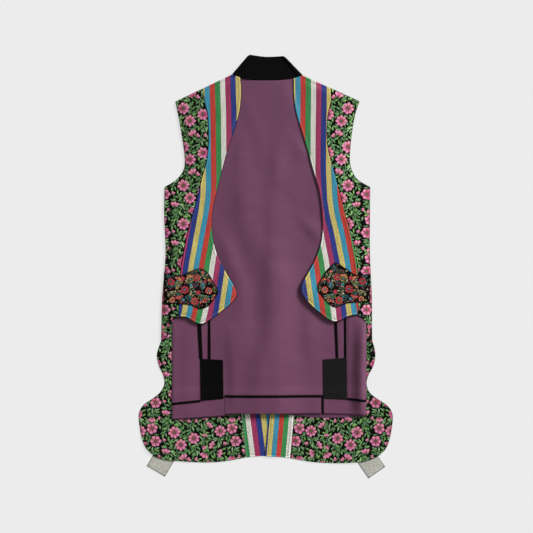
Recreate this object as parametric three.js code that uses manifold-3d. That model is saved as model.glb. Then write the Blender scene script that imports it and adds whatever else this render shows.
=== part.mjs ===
// A long sleeveless waistcoat, laid flat with its two short fronts open over the lining of its longer back.
// Millimetres. X runs across the garment, Y from the hem to the collar, and Z up from the surface below.
// The origin is the middle of the rectangle that the waistcoat covers, on that surface.

import * as THREE from 'three';
import { mergeVertices } from 'three/addons/utils/BufferGeometryUtils.js';
import Module from 'manifold-3d';

const wasm = await Module();
wasm.setup();

// Cloth thicknesses, and the gap that every seam and every pair of layers keeps.
const GAP = 0.3;
const SHELL = 1.6;
const LINING = 1.0;
const HEM_FACING = 0.8;
const TAPE = 0.8;
const VENT_PANEL = 1.0;
const FRONT = 1.6;
const POCKET = 1.2;
const TAB = 1.0;
const COLLAR_WALL = 1.2;
const COLLAR_FOLD = 5.2;
const COLLAR_RETURN = 2.0;
const COLLAR_STATIONS = 14;

// How the layers rise over each other.
const FRONT_RISE = { height: 2.4, width: 18 };
const NECK_ZONE = { half: 113, above: 340 };
const LOBE_LIFT = { height: 3.6, reach: 58 };
const UNDERLAP = 15;
const LAP_PLATEAU = { before: 6, after: 20, slope: 20 };
const HEM_FACING_TOP = -298;
const HEM_STEP = { from: -262, over: 18 };
const TAB_LIFT_REACH = 45;

// The grid that every layer is bent over, so that layers which lie on each other share their facets.
const GRID = { left: -288, right: 288, bottom: -442, top: 454, dx: 16, dy: 32 };
const ROLL = { from: 192, to: 232, dx: 8 };
const TAB_ZONE = { beyond: 144, below: -346 };
const LAP_ZONE = { left: -48, right: 64, below: -314 };

// Shoulder tips and the points where the shoulders meet the collar.
const SHOULDER = {
  left: { tip: [-199, 362], neck: [-72.5, 422.5] },
  right: { tip: [206.5, 363], neck: [80.5, 420] },
};

// Armhole edges, from shoulder tip to underarm.
const ARMHOLE = [
  { y: 362, left: -199, right: 206.5 },
  { y: 333, left: -193, right: 197 },
  { y: 300, left: -187, right: 191 },
  { y: 262, left: -181, right: 186.5 },
  { y: 230, left: -178, right: 185.5 },
  { y: 209, left: -182, right: 190.5 },
  { y: 190, left: -197, right: 203 },
  { y: 174, left: -222.5, right: 230 },
];

// Side edges, from underarm down to the rounded corner of the skirt.
const SIDE = [
  { y: 174, left: -222.5, right: 230 },
  { y: 110, left: -223.5, right: 229.5 },
  { y: 27, left: -220.5, right: 229.5 },
  { y: -65, left: -227.5, right: 233.5 },
  { y: -130, left: -229.5, right: 234 },
  { y: -162, left: -230, right: 234.5 },
  { y: -180, left: -236, right: 239.5 },
  { y: -198, left: -239.7, right: 241.5 },
  { y: -220, left: -235, right: 237 },
  { y: -240, left: -226, right: 226.5 },
  { y: -258, left: -223, right: 222.3 },
  { y: -276, left: -231, right: 227.5 },
  { y: -290, left: -247, right: 242.5 },
  { y: -306, left: -269.5, right: 267 },
  { y: -326, left: -279.3, right: 279.3 },
  { y: -355, left: -277.5, right: 278 },
  { y: -382, left: -272, right: 272.5 },
  { y: -402, left: -263, right: 264.5 },
  { y: -417, left: -248, right: 250 },
];

// The hem of the skirt, from the left corner to the right one.
const HEM = [
  { x: -248, y: -417 },
  { x: -222, y: -426 },
  { x: -190, y: -429.5 },
  { x: -135, y: -432.5 },
  { x: -88, y: -429.5 },
  { x: -47, y: -421.5 },
  { x: -8, y: -418.3 },
  { x: 30, y: -420.3 },
  { x: 58, y: -423.5 },
  { x: 98, y: -430.8 },
  { x: 150, y: -434.2 },
  { x: 203, y: -432 },
  { x: 228, y: -427 },
  { x: 250, y: -417 },
];

// The seams between flowered and striped cloth on the back, as straight lines.
const BACK_SEAM = {
  left: { hem: [-43, -421], top: [-126, 396.8] },
  right: { hem: [53.5, -422.8], top: [132, 396.7] },
};

// The centre edge of the right half of the back, which slants over the left half below the lining.
const CENTRE_BACK = [
  { y: 408, x: 7.8 },
  { y: -329, x: 7.8 },
  { y: -418.6, x: -1.4 },
];

// The base of the collar, from shoulder to shoulder.
const NECK = [
  { x: -72.5, y: 422.5 },
  { x: -58, y: 415.5 },
  { x: -40, y: 410.8 },
  { x: 0, y: 408.6 },
  { x: 38, y: 409.6 },
  { x: 62, y: 413.2 },
  { x: 80.5, y: 420 },
];
const COLLAR_TOP = { left: [-36, 465.2], middle: [1, 460.3], right: [40, 462] };
const RETURN_SHARE = { left: 0.1, right: 0.09 };

// Free edges of the fronts, from the collar round the lobe to the top of the side vent.
const FRONT_EDGE = {
  left: [
    { x: -56, y: 414.5 },
    { x: -54, y: 384 },
    { x: -57, y: 345 },
    { x: -67, y: 305 },
    { x: -85, y: 252 },
    { x: -105, y: 175 },
    { x: -117, y: 122 },
    { x: -118, y: 76 },
    { x: -108, y: 30 },
    { x: -88, y: -12 },
    { x: -70, y: -43 },
    { x: -64, y: -62 },
    { x: -73, y: -78 },
    { x: -97, y: -99 },
    { x: -121, y: -117 },
    { x: -141, y: -127 },
    { x: -158, y: -121.5 },
    { x: -173, y: -112.5 },
    { x: -191, y: -111 },
  ],
  right: [
    { x: 61, y: 412.5 },
    { x: 62, y: 374 },
    { x: 66, y: 342 },
    { x: 76, y: 306 },
    { x: 91, y: 258 },
    { x: 105, y: 208 },
    { x: 117, y: 168 },
    { x: 123.5, y: 122 },
    { x: 125, y: 86 },
    { x: 121, y: 50 },
    { x: 109, y: 15 },
    { x: 92, y: -17 },
    { x: 80.5, y: -37 },
    { x: 78, y: -50 },
    { x: 83, y: -66 },
    { x: 100, y: -86 },
    { x: 120, y: -103 },
    { x: 137, y: -116 },
    { x: 154, y: -122 },
    { x: 170, y: -116 },
    { x: 184, y: -109 },
    { x: 202, y: -106.5 },
  ],
};
const ARCH = {
  left: [[-191, -111], [-201, -115], [-209, -126], [-212, -142], [-216, -154], [-230, -165]],
  right: [[202, -106.5], [211, -111.5], [219, -122], [224, -139], [227.5, -151], [234.5, -163]],
};

// The seams between flowered and striped cloth on the fronts, from the shoulder down.
const FRONT_SEAM = {
  left: [
    { x: -139, y: 390.7 },
    { x: -134, y: 360 },
    { x: -128, y: 334 },
    { x: -126, y: 302 },
    { x: -126, y: 270 },
    { x: -130, y: 230 },
    { x: -140, y: 195 },
    { x: -149, y: 155 },
    { x: -160, y: 116 },
    { x: -171, y: 75 },
    { x: -180, y: 33 },
    { x: -187, y: -10 },
    { x: -190, y: -60 },
    { x: -191, y: -111 },
  ],
  right: [
    { x: 143, y: 391.7 },
    { x: 143, y: 362 },
    { x: 137, y: 337 },
    { x: 134, y: 305 },
    { x: 135, y: 270 },
    { x: 141, y: 238 },
    { x: 151, y: 204 },
    { x: 162, y: 162 },
    { x: 173, y: 118 },
    { x: 185, y: 78 },
    { x: 195, y: 38 },
    { x: 201.5, y: -5 },
    { x: 204, y: -50 },
    { x: 202, y: -106.5 },
  ],
};
const LOBE_TIP = { left: [-72, -62], right: [86, -50] };

// Pocket pieces on the lobes: a band from the side seam that swells into a pointed head.
const POCKET_HEAD = {
  left: [
    { x: -206, y: -19 },
    { x: -187, y: -20.5 },
    { x: -168, y: -12 },
    { x: -144, y: -5 },
    { x: -127, y: -15 },
    { x: -116, y: -32 },
    { x: -104, y: -55 },
    { x: -112, y: -71 },
    { x: -126, y: -88 },
    { x: -145, y: -94 },
    { x: -163, y: -86 },
    { x: -186, y: -83.5 },
    { x: -208, y: -83 },
  ],
  right: [
    { x: 212, y: -19 },
    { x: 197, y: -18.5 },
    { x: 176, y: -5 },
    { x: 154, y: 7.5 },
    { x: 137, y: -5 },
    { x: 124, y: -23 },
    { x: 113, y: -48 },
    { x: 125, y: -68 },
    { x: 141, y: -85 },
    { x: 156, y: -90.5 },
    { x: 177, y: -82.5 },
    { x: 197, y: -80 },
    { x: 212, y: -79 },
  ],
};
const POCKET_SIDE = {
  left: { x: -224, top: -14, bottom: -83 },
  right: { x: 229.5, top: -16, bottom: -78.5 },
};

// The lining: where its panels, hem bands, tapes and vent panels meet.
const LINING_SIDE = { left: -206, right: 221.5 };
const LINING_TOP_HIDDEN = -74;
const LINING_SIDE_TOP = { drop: 52, narrow: 24 };
const VENT = { left: -145, right: 180.5 };
const LINING_HALF = [
  { y: 405, left: -62, right: 66 },
  { y: 392, left: -100, right: 104 },
  { y: 330, left: -118, right: 124 },
  { y: 250, left: -128, right: 134 },
  { y: 200, left: -134, right: 142 },
  { y: 120, left: -152, right: 156 },
  { y: 20, left: -150, right: 158 },
  { y: -74, left: -146, right: 160 },
];
const BAND = {
  left: { from: -206, to: -90.4, top: [-303, -290.5], bottom: [-336.5, -328.5] },
  middle: { from: -90.1, to: 123.2, top: [-286, -286], bottom: [-324.6, -323.8] },
  right: { from: 127.4, to: 221.5, top: [-290.2, -295.5], bottom: [-323.8, -326.4] },
};
const TAPE_WIDTH = 5.2;
const HEM_TAPES = [
  { name: 'hem_tape_left', from: -206, to: -143, heights: [-303, -296.2] },
  { name: 'hem_tape_middle', from: -90, to: 122.5, heights: [-286, -286] },
  { name: 'hem_tape_right', from: 179.6, to: 221.5, heights: [-292, -295.6] },
];
const DROP_TAPE = [[122.9, -283], [126.1, -283], [126.9, -325], [122.9, -325]];
const FACING_DROP = { left: 4, right: 8.5 };
const FACING_END = { left: -52, right: 22 };

const VENT_PANELS = {
  left: [[-144, -203.6], [-94, -206.2], [-92.4, -291.2], [-142.6, -296.4]],
  right: [[125.6, -205.2], [178.4, -201.4], [179.2, -293.7], [126.6, -291]],
};

// Vertical tapes, each as its width and centre line at the two ends. The upper ends lie under the lobes.
const BARS = [
  { name: 'bar_left_outer', top: [-147.6, -98], bottom: [-142.2, -203.2], wide: 9.4, narrow: 7.6 },
  { name: 'bar_left_inner', top: [-124.2, -98], bottom: [-124, -204.2], wide: 5.2, narrow: 6.4 },
  { name: 'bar_right_inner', top: [153, -98], bottom: [157, -202.2], wide: 6.8, narrow: 5.8 },
  { name: 'bar_right_outer', top: [174.8, -98], bottom: [175.2, -201], wide: 5.6, narrow: 5.6 },
];

// Soft folds of the lining: where each lies, how long, wide and high it is, and how far it leans.
const FOLDS = [
  { x: 34, y: 120, length: 230, width: 30, height: 2.6, lean: 0.1 },
  { x: -52, y: 150, length: 190, width: 26, height: 1.8, lean: -0.06 },
  { x: 2, y: -60, length: 240, width: 28, height: 2.8, lean: 0.14 },
  { x: -46, y: -210, length: 190, width: 22, height: 2.4, lean: 0.1 },
  { x: 62, y: -180, length: 200, width: 30, height: 2.2, lean: -0.03 },
  { x: -176, y: -230, length: 210, width: 20, height: 1.6, lean: 0 },
  { x: 213, y: -236, length: 200, width: 9, height: 5.2, lean: 0 },
];

// Size tabs under the corners of the hem: centre, size and turn of each.
const TABS = {
  left: { centre: [-228.3, -428.7], size: [46.6, 54], turn: -30.4 },
  right: { centre: [229.6, -432.6], size: [45.2, 54], turn: 34.6 },
};

const COLOURS = {
  floral: { color: 0x22301f, roughness: 0.8, metalness: 0 },
  stripe: { color: 0x3f8fb0, roughness: 0.6, metalness: 0 },
  lining: { color: 0x6c435d, roughness: 0.6, metalness: 0 },
  black: { color: 0x0d0d0d, roughness: 0.7, metalness: 0 },
  pocket: { color: 0x3a1414, roughness: 0.75, metalness: 0 },
  tab: { color: 0xabaaa3, roughness: 0.7, metalness: 0 },
};

// 0 below 0, 1 above 1, and a smooth step between.
function ease(t) {
  const c = Math.min(1, Math.max(0, t));
  return c * c * (3 - 2 * c);
}

// The value of a column at height y, straight between the rows of a table that runs down in y.
function at(table, column, y) {
  if (y >= table[0].y) return table[0][column];
  for (let i = 1; i < table.length; i++) {
    const above = table[i - 1];
    const below = table[i];
    if (y >= below.y) {
      const share = (above.y - y) / (above.y - below.y);
      return above[column] + share * (below[column] - above[column]);
    }
  }
  return table[table.length - 1][column];
}

// Heights of the layers over the surface.

// How far a point lies inside the seams that join the fronts to the back.
function inset(x, y) {
  const sides = y > SIDE[0].y ? ARMHOLE : SIDE;
  const shoulder = x < 0 ? SHOULDER.left : SHOULDER.right;
  const share = (x - shoulder.tip[0]) / (shoulder.neck[0] - shoulder.tip[0]);
  const shoulderY = shoulder.tip[1] + share * (shoulder.neck[1] - shoulder.tip[1]);
  return Math.max(0, Math.min(x - at(sides, 'left', y), at(sides, 'right', y) - x, shoulderY - y));
}

// Where the right half of the back laps over the left one, everything above rises by one cloth.
function lapRise(x, y) {
  const past = x - at(CENTRE_BACK, 'x', y);
  const { before, after, slope } = LAP_PLATEAU;
  return (SHELL + GAP) * ease((past + before + slope) / slope) * (1 - ease((past - after) / slope));
}

function tabRise(x, y) {
  const near = Object.values(TABS).map(({ centre }) => Math.hypot(x - centre[0], y - centre[1]));
  return (TAB + GAP) * ease((2 * TAB_LIFT_REACH - Math.min(...near)) / TAB_LIFT_REACH);
}

function foldRise(x, y) {
  return FOLDS.reduce((sum, fold) => {
    const along = (y - fold.y) / (fold.length / 2);
    const across = (x - fold.x - fold.lean * (y - fold.y)) / fold.width;
    return sum + fold.height * Math.exp(-across * across) * ease(1.4 * (1 - Math.abs(along)));
  }, 0);
}

const lappedFloor = (x, y) => SHELL + lapRise(x, y);
const facingStep = (y) => (HEM_FACING + GAP) * ease((HEM_STEP.from - y) / HEM_STEP.over);
const liningUnder = (x, y) => lappedFloor(x, y) + GAP + facingStep(y) + foldRise(x, y);
const liningOver = (x, y) => liningUnder(x, y) + LINING;

function lobeRise(x, y) {
  return Object.values(LOBE_TIP).reduce((sum, tip) => {
    const away = Math.hypot(x - tip[0], y - tip[1]) / LOBE_LIFT.reach;
    return sum + LOBE_LIFT.height * Math.exp(-away * away);
  }, 0);
}

function frontUnder(x, y) {
  const inside = inset(x, y);
  const free = SHELL + GAP + FRONT_RISE.height * ease(inside / FRONT_RISE.width) + lobeRise(x, y);
  const byNeck = Math.abs(x) < NECK_ZONE.half && y > NECK_ZONE.above;
  return byNeck || inside > FRONT_RISE.width ? Math.max(free, liningOver(x, y) + GAP) : free;
}
const frontOver = (x, y) => frontUnder(x, y) + FRONT;

// Solids.

function solidOf(geometry) {
  for (const name of ['normal', 'uv']) geometry.deleteAttribute(name);
  const merged = mergeVertices(geometry, 1e-4);
  return new wasm.Manifold(
    new wasm.Mesh({
      numProp: 3,
      vertProperties: new Float32Array(merged.attributes.position.array),
      triVerts: new Uint32Array(merged.index.array),
    }),
  );
}

function steps(from, to, by) {
  const count = Math.round((to - from) / by);
  return Array.from({ length: count + 1 }, (_, i) => from + i * by);
}

const ROWS = steps(GRID.bottom, GRID.top, GRID.dy);
const COLUMNS = steps(GRID.left, GRID.right, GRID.dx);
const ROLL_COLUMNS = steps(ROLL.from, ROLL.to, ROLL.dx);
const FINE_COLUMNS = [...new Set([...COLUMNS, ...ROLL_COLUMNS])].sort((a, b) => a - b);
const TAB_COLUMNS = COLUMNS.filter((x) => Math.abs(x) >= TAB_ZONE.beyond);
const TAB_ROWS = ROWS.filter((y) => y <= TAB_ZONE.below || y === GRID.top);
const isEnd = (x) => x === GRID.left || x === GRID.right;
const LAP_COLUMNS = COLUMNS.filter((x) => isEnd(x) || (x >= LAP_ZONE.left && x <= LAP_ZONE.right));
const LAP_ROWS = ROWS.filter((y) => y <= LAP_ZONE.below || y === GRID.top);

// A sheet over the whole grid whose under side follows a height and whose wall is the cloth's thickness.
function blanket(under, thickness, columns = COLUMNS, rows = ROWS) {
  const nx = columns.length;
  const ny = rows.length;
  const position = [];
  for (const extra of [0, thickness])
    for (const y of rows) for (const x of columns) position.push(x, y, under(x, y) + extra);
  const index = [];
  const vertex = (layer, i, j) => (layer * ny + j) * nx + i;
  const quad = (a, b, c, d) => index.push(a, b, c, a, c, d);
  for (let j = 0; j + 1 < ny; j++)
    for (let i = 0; i + 1 < nx; i++) {
      const corners = (layer) => [
        vertex(layer, i, j),
        vertex(layer, i + 1, j),
        vertex(layer, i + 1, j + 1),
        vertex(layer, i, j + 1),
      ];
      const [a, b, c, d] = corners(1);
      quad(a, b, c, d);
      const [e, f, g, h] = corners(0);
      index.push(e, g, f, e, h, g);
    }
  for (let i = 0; i + 1 < nx; i++) {
    quad(vertex(0, i, 0), vertex(0, i + 1, 0), vertex(1, i + 1, 0), vertex(1, i, 0));
    quad(vertex(1, i, ny - 1), vertex(1, i + 1, ny - 1), vertex(0, i + 1, ny - 1), vertex(0, i, ny - 1));
  }
  for (let j = 0; j + 1 < ny; j++) {
    quad(vertex(1, 0, j), vertex(1, 0, j + 1), vertex(0, 0, j + 1), vertex(0, 0, j));
    quad(vertex(0, nx - 1, j), vertex(0, nx - 1, j + 1), vertex(1, nx - 1, j + 1), vertex(1, nx - 1, j));
  }
  const geometry = new THREE.BufferGeometry();
  geometry.setAttribute('position', new THREE.Float32BufferAttribute(position, 3));
  geometry.setIndex(index);
  return solidOf(geometry);
}

// A column over an outline, tall enough to cut any layer.
function cutter(outline) {
  const geometry = new THREE.ExtrudeGeometry(outline, { depth: 60, bevelEnabled: false });
  geometry.translate(0, 0, -20);
  return solidOf(geometry);
}

const waistcoat = new THREE.Group();

function addSolid(name, solid, look) {
  const mesh = solid.getMesh();
  const geometry = new THREE.BufferGeometry();
  geometry.setAttribute('position', new THREE.BufferAttribute(mesh.vertProperties, 3));
  geometry.setIndex(new THREE.BufferAttribute(mesh.triVerts, 1));
  geometry.computeVertexNormals();
  const made = new THREE.Mesh(geometry, new THREE.MeshStandardMaterial(COLOURS[look]));
  made.name = name;
  waistcoat.add(made);
}

function addPiece(name, layer, outline, look) {
  addSolid(name, layer.intersect(cutter(outline)), look);
}

// Outlines.

const point = ([x, y]) => new THREE.Vector2(x, y);
const points = (rows, dx = 0, dy = 0) => rows.map((row) => new THREE.Vector2(row.x + dx, row.y + dy));
const column = (rows, side) => rows.map((row) => new THREE.Vector2(row[side], row.y));

// A closed outline from runs of points: a run of two is a straight edge, a longer one a smooth curve.
function outlineOf(...runs) {
  const outline = runs.flatMap((run) => {
    if (run.length === 2) return run;
    return new THREE.SplineCurve(run).getPoints(2 * (run.length - 1));
  });
  const apart = (spot, i) => spot.distanceTo(outline[(i + 1) % outline.length]) > 0.05;
  return new THREE.Shape(outline.filter(apart));
}

const HALF_GAP = GAP / 2;
const inward = (side) => (side === 'left' ? 1 : -1);

// The part of a table between two x values, with its ends worked out on the straight line between rows.
function between(rows, from, to, apart = 12) {
  const heightAt = (x) => {
    const i = Math.max(1, rows.findIndex((row) => row.x >= x));
    const share = (x - rows[i - 1].x) / (rows[i].x - rows[i - 1].x);
    return rows[i - 1].y + share * (rows[i].y - rows[i - 1].y);
  };
  const inner = rows.filter((row) => row.x > from + apart && row.x < to - apart);
  return [{ x: from, y: heightAt(from) }, ...inner, { x: to, y: heightAt(to) }];
}

// The seam under the collar, as short straight edges that the collar's foot shares.
const neckCurve = new THREE.SplineCurve(points(NECK));
const NECK_LINE = neckCurve.getPoints(COLLAR_STATIONS);

function neckEdge(from, to) {
  const spots = points(between(NECK_LINE, Math.min(from, to), Math.max(from, to), 1), 0, -GAP);
  if (from > to) spots.reverse();
  return spots.slice(1).map((spot, i) => [spots[i], spot]);
}

function backFloral(side) {
  const s = inward(side);
  const { hem, top } = BACK_SEAM[side];
  const hemEnds = side === 'left' ? [HEM[0].x, hem[0] - HALF_GAP] : [hem[0] + HALF_GAP, HEM.at(-1).x];
  const hemInward = points(between(HEM, ...hemEnds));
  if (side === 'right') hemInward.reverse();
  const seamTop = new THREE.Vector2(top[0] - s * HALF_GAP, top[1]);
  return outlineOf(
    column(ARMHOLE, side),
    column(SIDE, side),
    hemInward,
    [hemInward.at(-1), seamTop],
  );
}

// The striped bands of the back. The left one runs under the right one by the underlap.
function backStripe(side) {
  const s = inward(side);
  const seam = BACK_SEAM[side];
  const lap = side === 'left' ? UNDERLAP : 0;
  const seamX = seam.hem[0] + s * HALF_GAP;
  const [centre, vent, hemEdge] = CENTRE_BACK.map((row) => new THREE.Vector2(row.x + lap, row.y));
  const hemRun = between(HEM, Math.min(seamX, hemEdge.x), Math.max(seamX, hemEdge.x));
  const hemPoints = side === 'left' ? points(hemRun) : points(hemRun).reverse();
  const neck = neckEdge(centre.x, side === 'left' ? NECK[0].x : NECK.at(-1).x);
  return outlineOf(
    hemPoints,
    [hemPoints.at(-1), vent],
    [vent, neck[0][0]],
    ...neck,
    [neck.at(-1)[1], new THREE.Vector2(seam.top[0] + s * HALF_GAP, seam.top[1])],
  );
}

function frontFloral(side) {
  const s = inward(side);
  const shoulder = SHOULDER[side];
  const seam = points(FRONT_SEAM[side], -s * HALF_GAP);
  const above = SIDE.filter((row) => row.y > ARCH[side].at(-1)[1]);
  const end = point(ARCH[side].at(-1));
  return outlineOf(
    [seam[0], point(shoulder.tip)],
    column(ARMHOLE, side),
    [...column(above, side), end],
    [end, ...ARCH[side].slice(1, -1).reverse().map(point), seam.at(-1)],
    seam.reverse(),
  );
}

function frontStripe(side) {
  const s = inward(side);
  const seam = points(FRONT_SEAM[side], s * HALF_GAP);
  const edge = points(FRONT_EDGE[side]);
  edge[edge.length - 1].x += s * HALF_GAP;
  const neck = neckEdge(side === 'left' ? NECK[0].x : NECK.at(-1).x, edge[0].x);
  edge[0].copy(neck.at(-1)[1]);
  return outlineOf(edge, seam.reverse(), [seam.at(-1), neck[0][0]], ...neck);
}

function pocket(side) {
  const head = points(POCKET_HEAD[side]);
  const { x, top, bottom } = POCKET_SIDE[side];
  const corners = [new THREE.Vector2(x, bottom), new THREE.Vector2(x, top)];
  return outlineOf(head, [head.at(-1), corners[0]], corners);
}

const polygon = (corners) => new THREE.Shape(corners.map(point));
const sloped = (from, to, heights, shift) => [[from, heights[0] + shift], [to, heights[1] + shift]];

function band({ from, to, top, bottom }) {
  return polygon([...sloped(from, to, top, -GAP), ...sloped(from, to, bottom, 0).reverse()]);
}

// The tape that covers the seam between a lining panel and its hem band.
function hemTape(from, to, heights) {
  const half = TAPE_WIDTH / 2;
  return polygon([...sloped(from, to, heights, half), ...sloped(from, to, heights, -half).reverse()]);
}

function tape({ top, bottom, wide, narrow }) {
  return polygon([
    [top[0] - wide / 2, top[1]],
    [top[0] + wide / 2, top[1]],
    [bottom[0] + narrow / 2, bottom[1]],
    [bottom[0] - narrow / 2, bottom[1]],
  ]);
}

// The height of a hem band's upper edge.
function bandTop({ from, to, top }, x) {
  return top[0] + ((x - from) / (to - from)) * (top[1] - top[0]);
}

function liningPanel() {
  const hidden = LINING_HALF;
  const seamY = BAND.middle.top[0];
  const left = VENT.left + HALF_GAP;
  const right = VENT.right - HALF_GAP;
  const leftStep = BAND.left.to + HALF_GAP;
  const rightStep = BAND.middle.to + 2;
  const foot = (side, x) => new THREE.Vector2(x, bandTop(BAND[side], x) + HALF_GAP);
  const neck = neckEdge(hidden[0].left, hidden[0].right);
  return outlineOf(
    ...neck,
    [neck.at(-1)[1], new THREE.Vector2(hidden[1].right, hidden[1].y)],
    column(hidden.slice(1), 'right'),
    [new THREE.Vector2(right, LINING_TOP_HIDDEN - 6), foot('right', right)],
    [foot('right', rightStep), new THREE.Vector2(rightStep, seamY)],
    [new THREE.Vector2(leftStep, seamY), foot('left', leftStep)],
    [foot('left', left), new THREE.Vector2(left, LINING_TOP_HIDDEN - 6)],
    column(hidden.slice(1), 'left').reverse(),
  );
}

function liningSidePanel(side) {
  const outer = LINING_SIDE[side];
  const inner = VENT[side] - inward(side) * HALF_GAP;
  const innerY = bandTop(BAND[side], inner);
  const outerY = bandTop(BAND[side], outer);
  const { drop, narrow } = LINING_SIDE_TOP;
  const topInner = LINING_TOP_HIDDEN - 8;
  return outlineOf(
    [new THREE.Vector2(outer, outerY + HALF_GAP), new THREE.Vector2(inner, innerY + HALF_GAP)],
    [new THREE.Vector2(inner, innerY + HALF_GAP), new THREE.Vector2(inner, topInner)],
    [new THREE.Vector2(inner, topInner), new THREE.Vector2(outer + inward(side) * narrow, topInner)],
    [new THREE.Vector2(outer, LINING_TOP_HIDDEN - drop), new THREE.Vector2(outer, outerY + HALF_GAP)],
  );
}

// The lower edge of the facing that shows just under the hem bands.
function hemFacing(side) {
  const from = LINING_SIDE[side] + inward(side) * 1.5;
  const to = FACING_END[side];
  const low = (side === 'left' ? BAND.left.bottom[0] : BAND.right.bottom[1]) - FACING_DROP[side] / 2;
  const middle = (from + to) / 2;
  const shallow = BAND.middle.bottom[0] - FACING_DROP[side] / 2;
  return outlineOf(
    [new THREE.Vector2(from, low), new THREE.Vector2(middle, (low + shallow) / 2 - FACING_DROP[side] / 2),
      new THREE.Vector2(to, BAND.middle.bottom[0] + 1)],
    [new THREE.Vector2(to, BAND.middle.bottom[0] + 1), new THREE.Vector2(to, HEM_FACING_TOP)],
    [new THREE.Vector2(to, HEM_FACING_TOP), new THREE.Vector2(from, HEM_FACING_TOP - 8)],
    [new THREE.Vector2(from, HEM_FACING_TOP - 8), new THREE.Vector2(from, low)],
  );
}

// The collar.

const topCurve = new THREE.SplineCurve([COLLAR_TOP.left, COLLAR_TOP.middle, COLLAR_TOP.right].map(point));

// Half of a ring round the fold at the top edge, as [distance before the edge, height].
function foldArc(radius, steps = 5) {
  return Array.from({ length: steps + 1 }, (_, i) => {
    const angle = -Math.PI / 2 + (Math.PI * i) / steps;
    return [COLLAR_FOLD / 2 - radius * Math.cos(angle), COLLAR_FOLD / 2 + radius * Math.sin(angle)];
  });
}

// One strip that rises from the neck seam, turns over at the top edge and comes back down to the seam.
function collarBack() {
  const outer = foldArc(COLLAR_FOLD / 2);
  const inner = foldArc(COLLAR_FOLD / 2 - COLLAR_WALL).reverse();
  const rings = Array.from({ length: COLLAR_STATIONS + 1 }, (_, k) => {
    const base = neckCurve.getPoint(k / COLLAR_STATIONS);
    const top = topCurve.getPoint(k / COLLAR_STATIONS);
    const length = base.distanceTo(top);
    const place = ([before, z]) => {
      const spot = base.clone().lerp(top, 1 - before / length);
      return [spot.x, spot.y, z];
    };
    const foot = (z) => [base.x, base.y, z];
    return [
      foot(0),
      ...outer.map(place),
      foot(COLLAR_FOLD),
      foot(COLLAR_FOLD - COLLAR_WALL),
      ...inner.map(place),
      foot(COLLAR_WALL),
    ];
  });
  const size = rings[0].length;
  const index = [];
  for (let k = 0; k < COLLAR_STATIONS; k++)
    for (let i = 0; i < size; i++) {
      const a = k * size + i;
      const b = k * size + ((i + 1) % size);
      index.push(a, b, a + size, b, b + size, a + size);
    }
  const faces = THREE.ShapeUtils.triangulateShape(rings[0].map(([x, , z]) => new THREE.Vector2(x, z)), []);
  for (const [a, b, c] of faces) {
    index.push(a, c, b);
    const last = COLLAR_STATIONS * size;
    index.push(last + a, last + b, last + c);
  }
  const geometry = new THREE.BufferGeometry();
  geometry.setAttribute('position', new THREE.Float32BufferAttribute(rings.flat(2), 3));
  geometry.setIndex(index);
  return solidOf(geometry);
}

// The ends of the collar, folded over at the side of the neck and lying on the back of it.
function collarReturn(side) {
  const share = RETURN_SHARE[side];
  const [from, to] = side === 'left' ? [0, share] : [1 - share, 1];
  const base = [neckCurve.getPoint(from), neckCurve.getPoint(to)];
  const top = [topCurve.getPoint(from), topCurve.getPoint(to)];
  const outline = new THREE.Shape([base[0], base[1], top[1], top[0]]);
  const geometry = new THREE.ExtrudeGeometry(outline, { depth: COLLAR_RETURN, bevelEnabled: false });
  geometry.translate(0, 0, COLLAR_FOLD + GAP);
  return solidOf(geometry);
}

function tab({ centre, size, turn }) {
  const geometry = new THREE.BoxGeometry(size[0], size[1], TAB);
  geometry.rotateZ(THREE.MathUtils.degToRad(turn));
  geometry.translate(centre[0], centre[1], TAB / 2);
  return solidOf(geometry);
}

// Layers, from the surface up, and the pieces cut from them.

const shellLayer = blanket(tabRise, SHELL, TAB_COLUMNS, TAB_ROWS);
const lappedLayer = blanket(lapRise, SHELL, LAP_COLUMNS, LAP_ROWS);
const facingLayer = blanket((x, y) => lappedFloor(x, y) + GAP, HEM_FACING);
const liningLayer = blanket(liningUnder, LINING, FINE_COLUMNS);
const tapeLayer = blanket((x, y) => liningOver(x, y) + GAP, TAPE, FINE_COLUMNS);
const ventLayer = blanket((x, y) => liningOver(x, y) + GAP, VENT_PANEL);
const frontLayer = blanket(frontUnder, FRONT);
const pocketLayer = blanket((x, y) => frontOver(x, y) + GAP, POCKET);

for (const side of ['left', 'right']) {
  addPiece(`back_floral_${side}`, shellLayer, backFloral(side), 'floral');
  addPiece(`back_stripe_${side}`, side === 'left' ? shellLayer : lappedLayer, backStripe(side), 'stripe');
  addPiece(`hem_facing_${side}`, facingLayer, hemFacing(side), 'lining');
  addPiece(`lining_side_${side}`, liningLayer, liningSidePanel(side), 'lining');
  addPiece(`vent_panel_${side}`, ventLayer, polygon(VENT_PANELS[side]), 'black');
  addPiece(`front_floral_${side}`, frontLayer, frontFloral(side), 'floral');
  addPiece(`front_stripe_${side}`, frontLayer, frontStripe(side), 'stripe');
  addPiece(`pocket_${side}`, pocketLayer, pocket(side), 'pocket');
  addSolid(`collar_${side}`, collarReturn(side), 'black');
  addSolid(`tab_${side}`, tab(TABS[side]), 'tab');
}
addPiece('lining_back', liningLayer, liningPanel(), 'lining');
for (const [name, sizes] of Object.entries(BAND)) {
  addPiece(`hem_band_${name}`, liningLayer, band(sizes), 'lining');
}
for (const { name, from, to, heights } of HEM_TAPES) {
  addPiece(name, tapeLayer, hemTape(from, to, heights), 'black');
}
addPiece('drop_tape_right', tapeLayer, polygon(DROP_TAPE), 'black');
for (const bar of BARS) addPiece(bar.name, tapeLayer, tape(bar), 'black');
addSolid('collar_back', collarBack(), 'black');

// The outline's middle becomes the origin.
const middle = new THREE.Box3().setFromObject(waistcoat).getCenter(new THREE.Vector3());
for (const made of waistcoat.children) made.geometry.translate(-middle.x, -middle.y, 0);

export default waistcoat;
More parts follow.
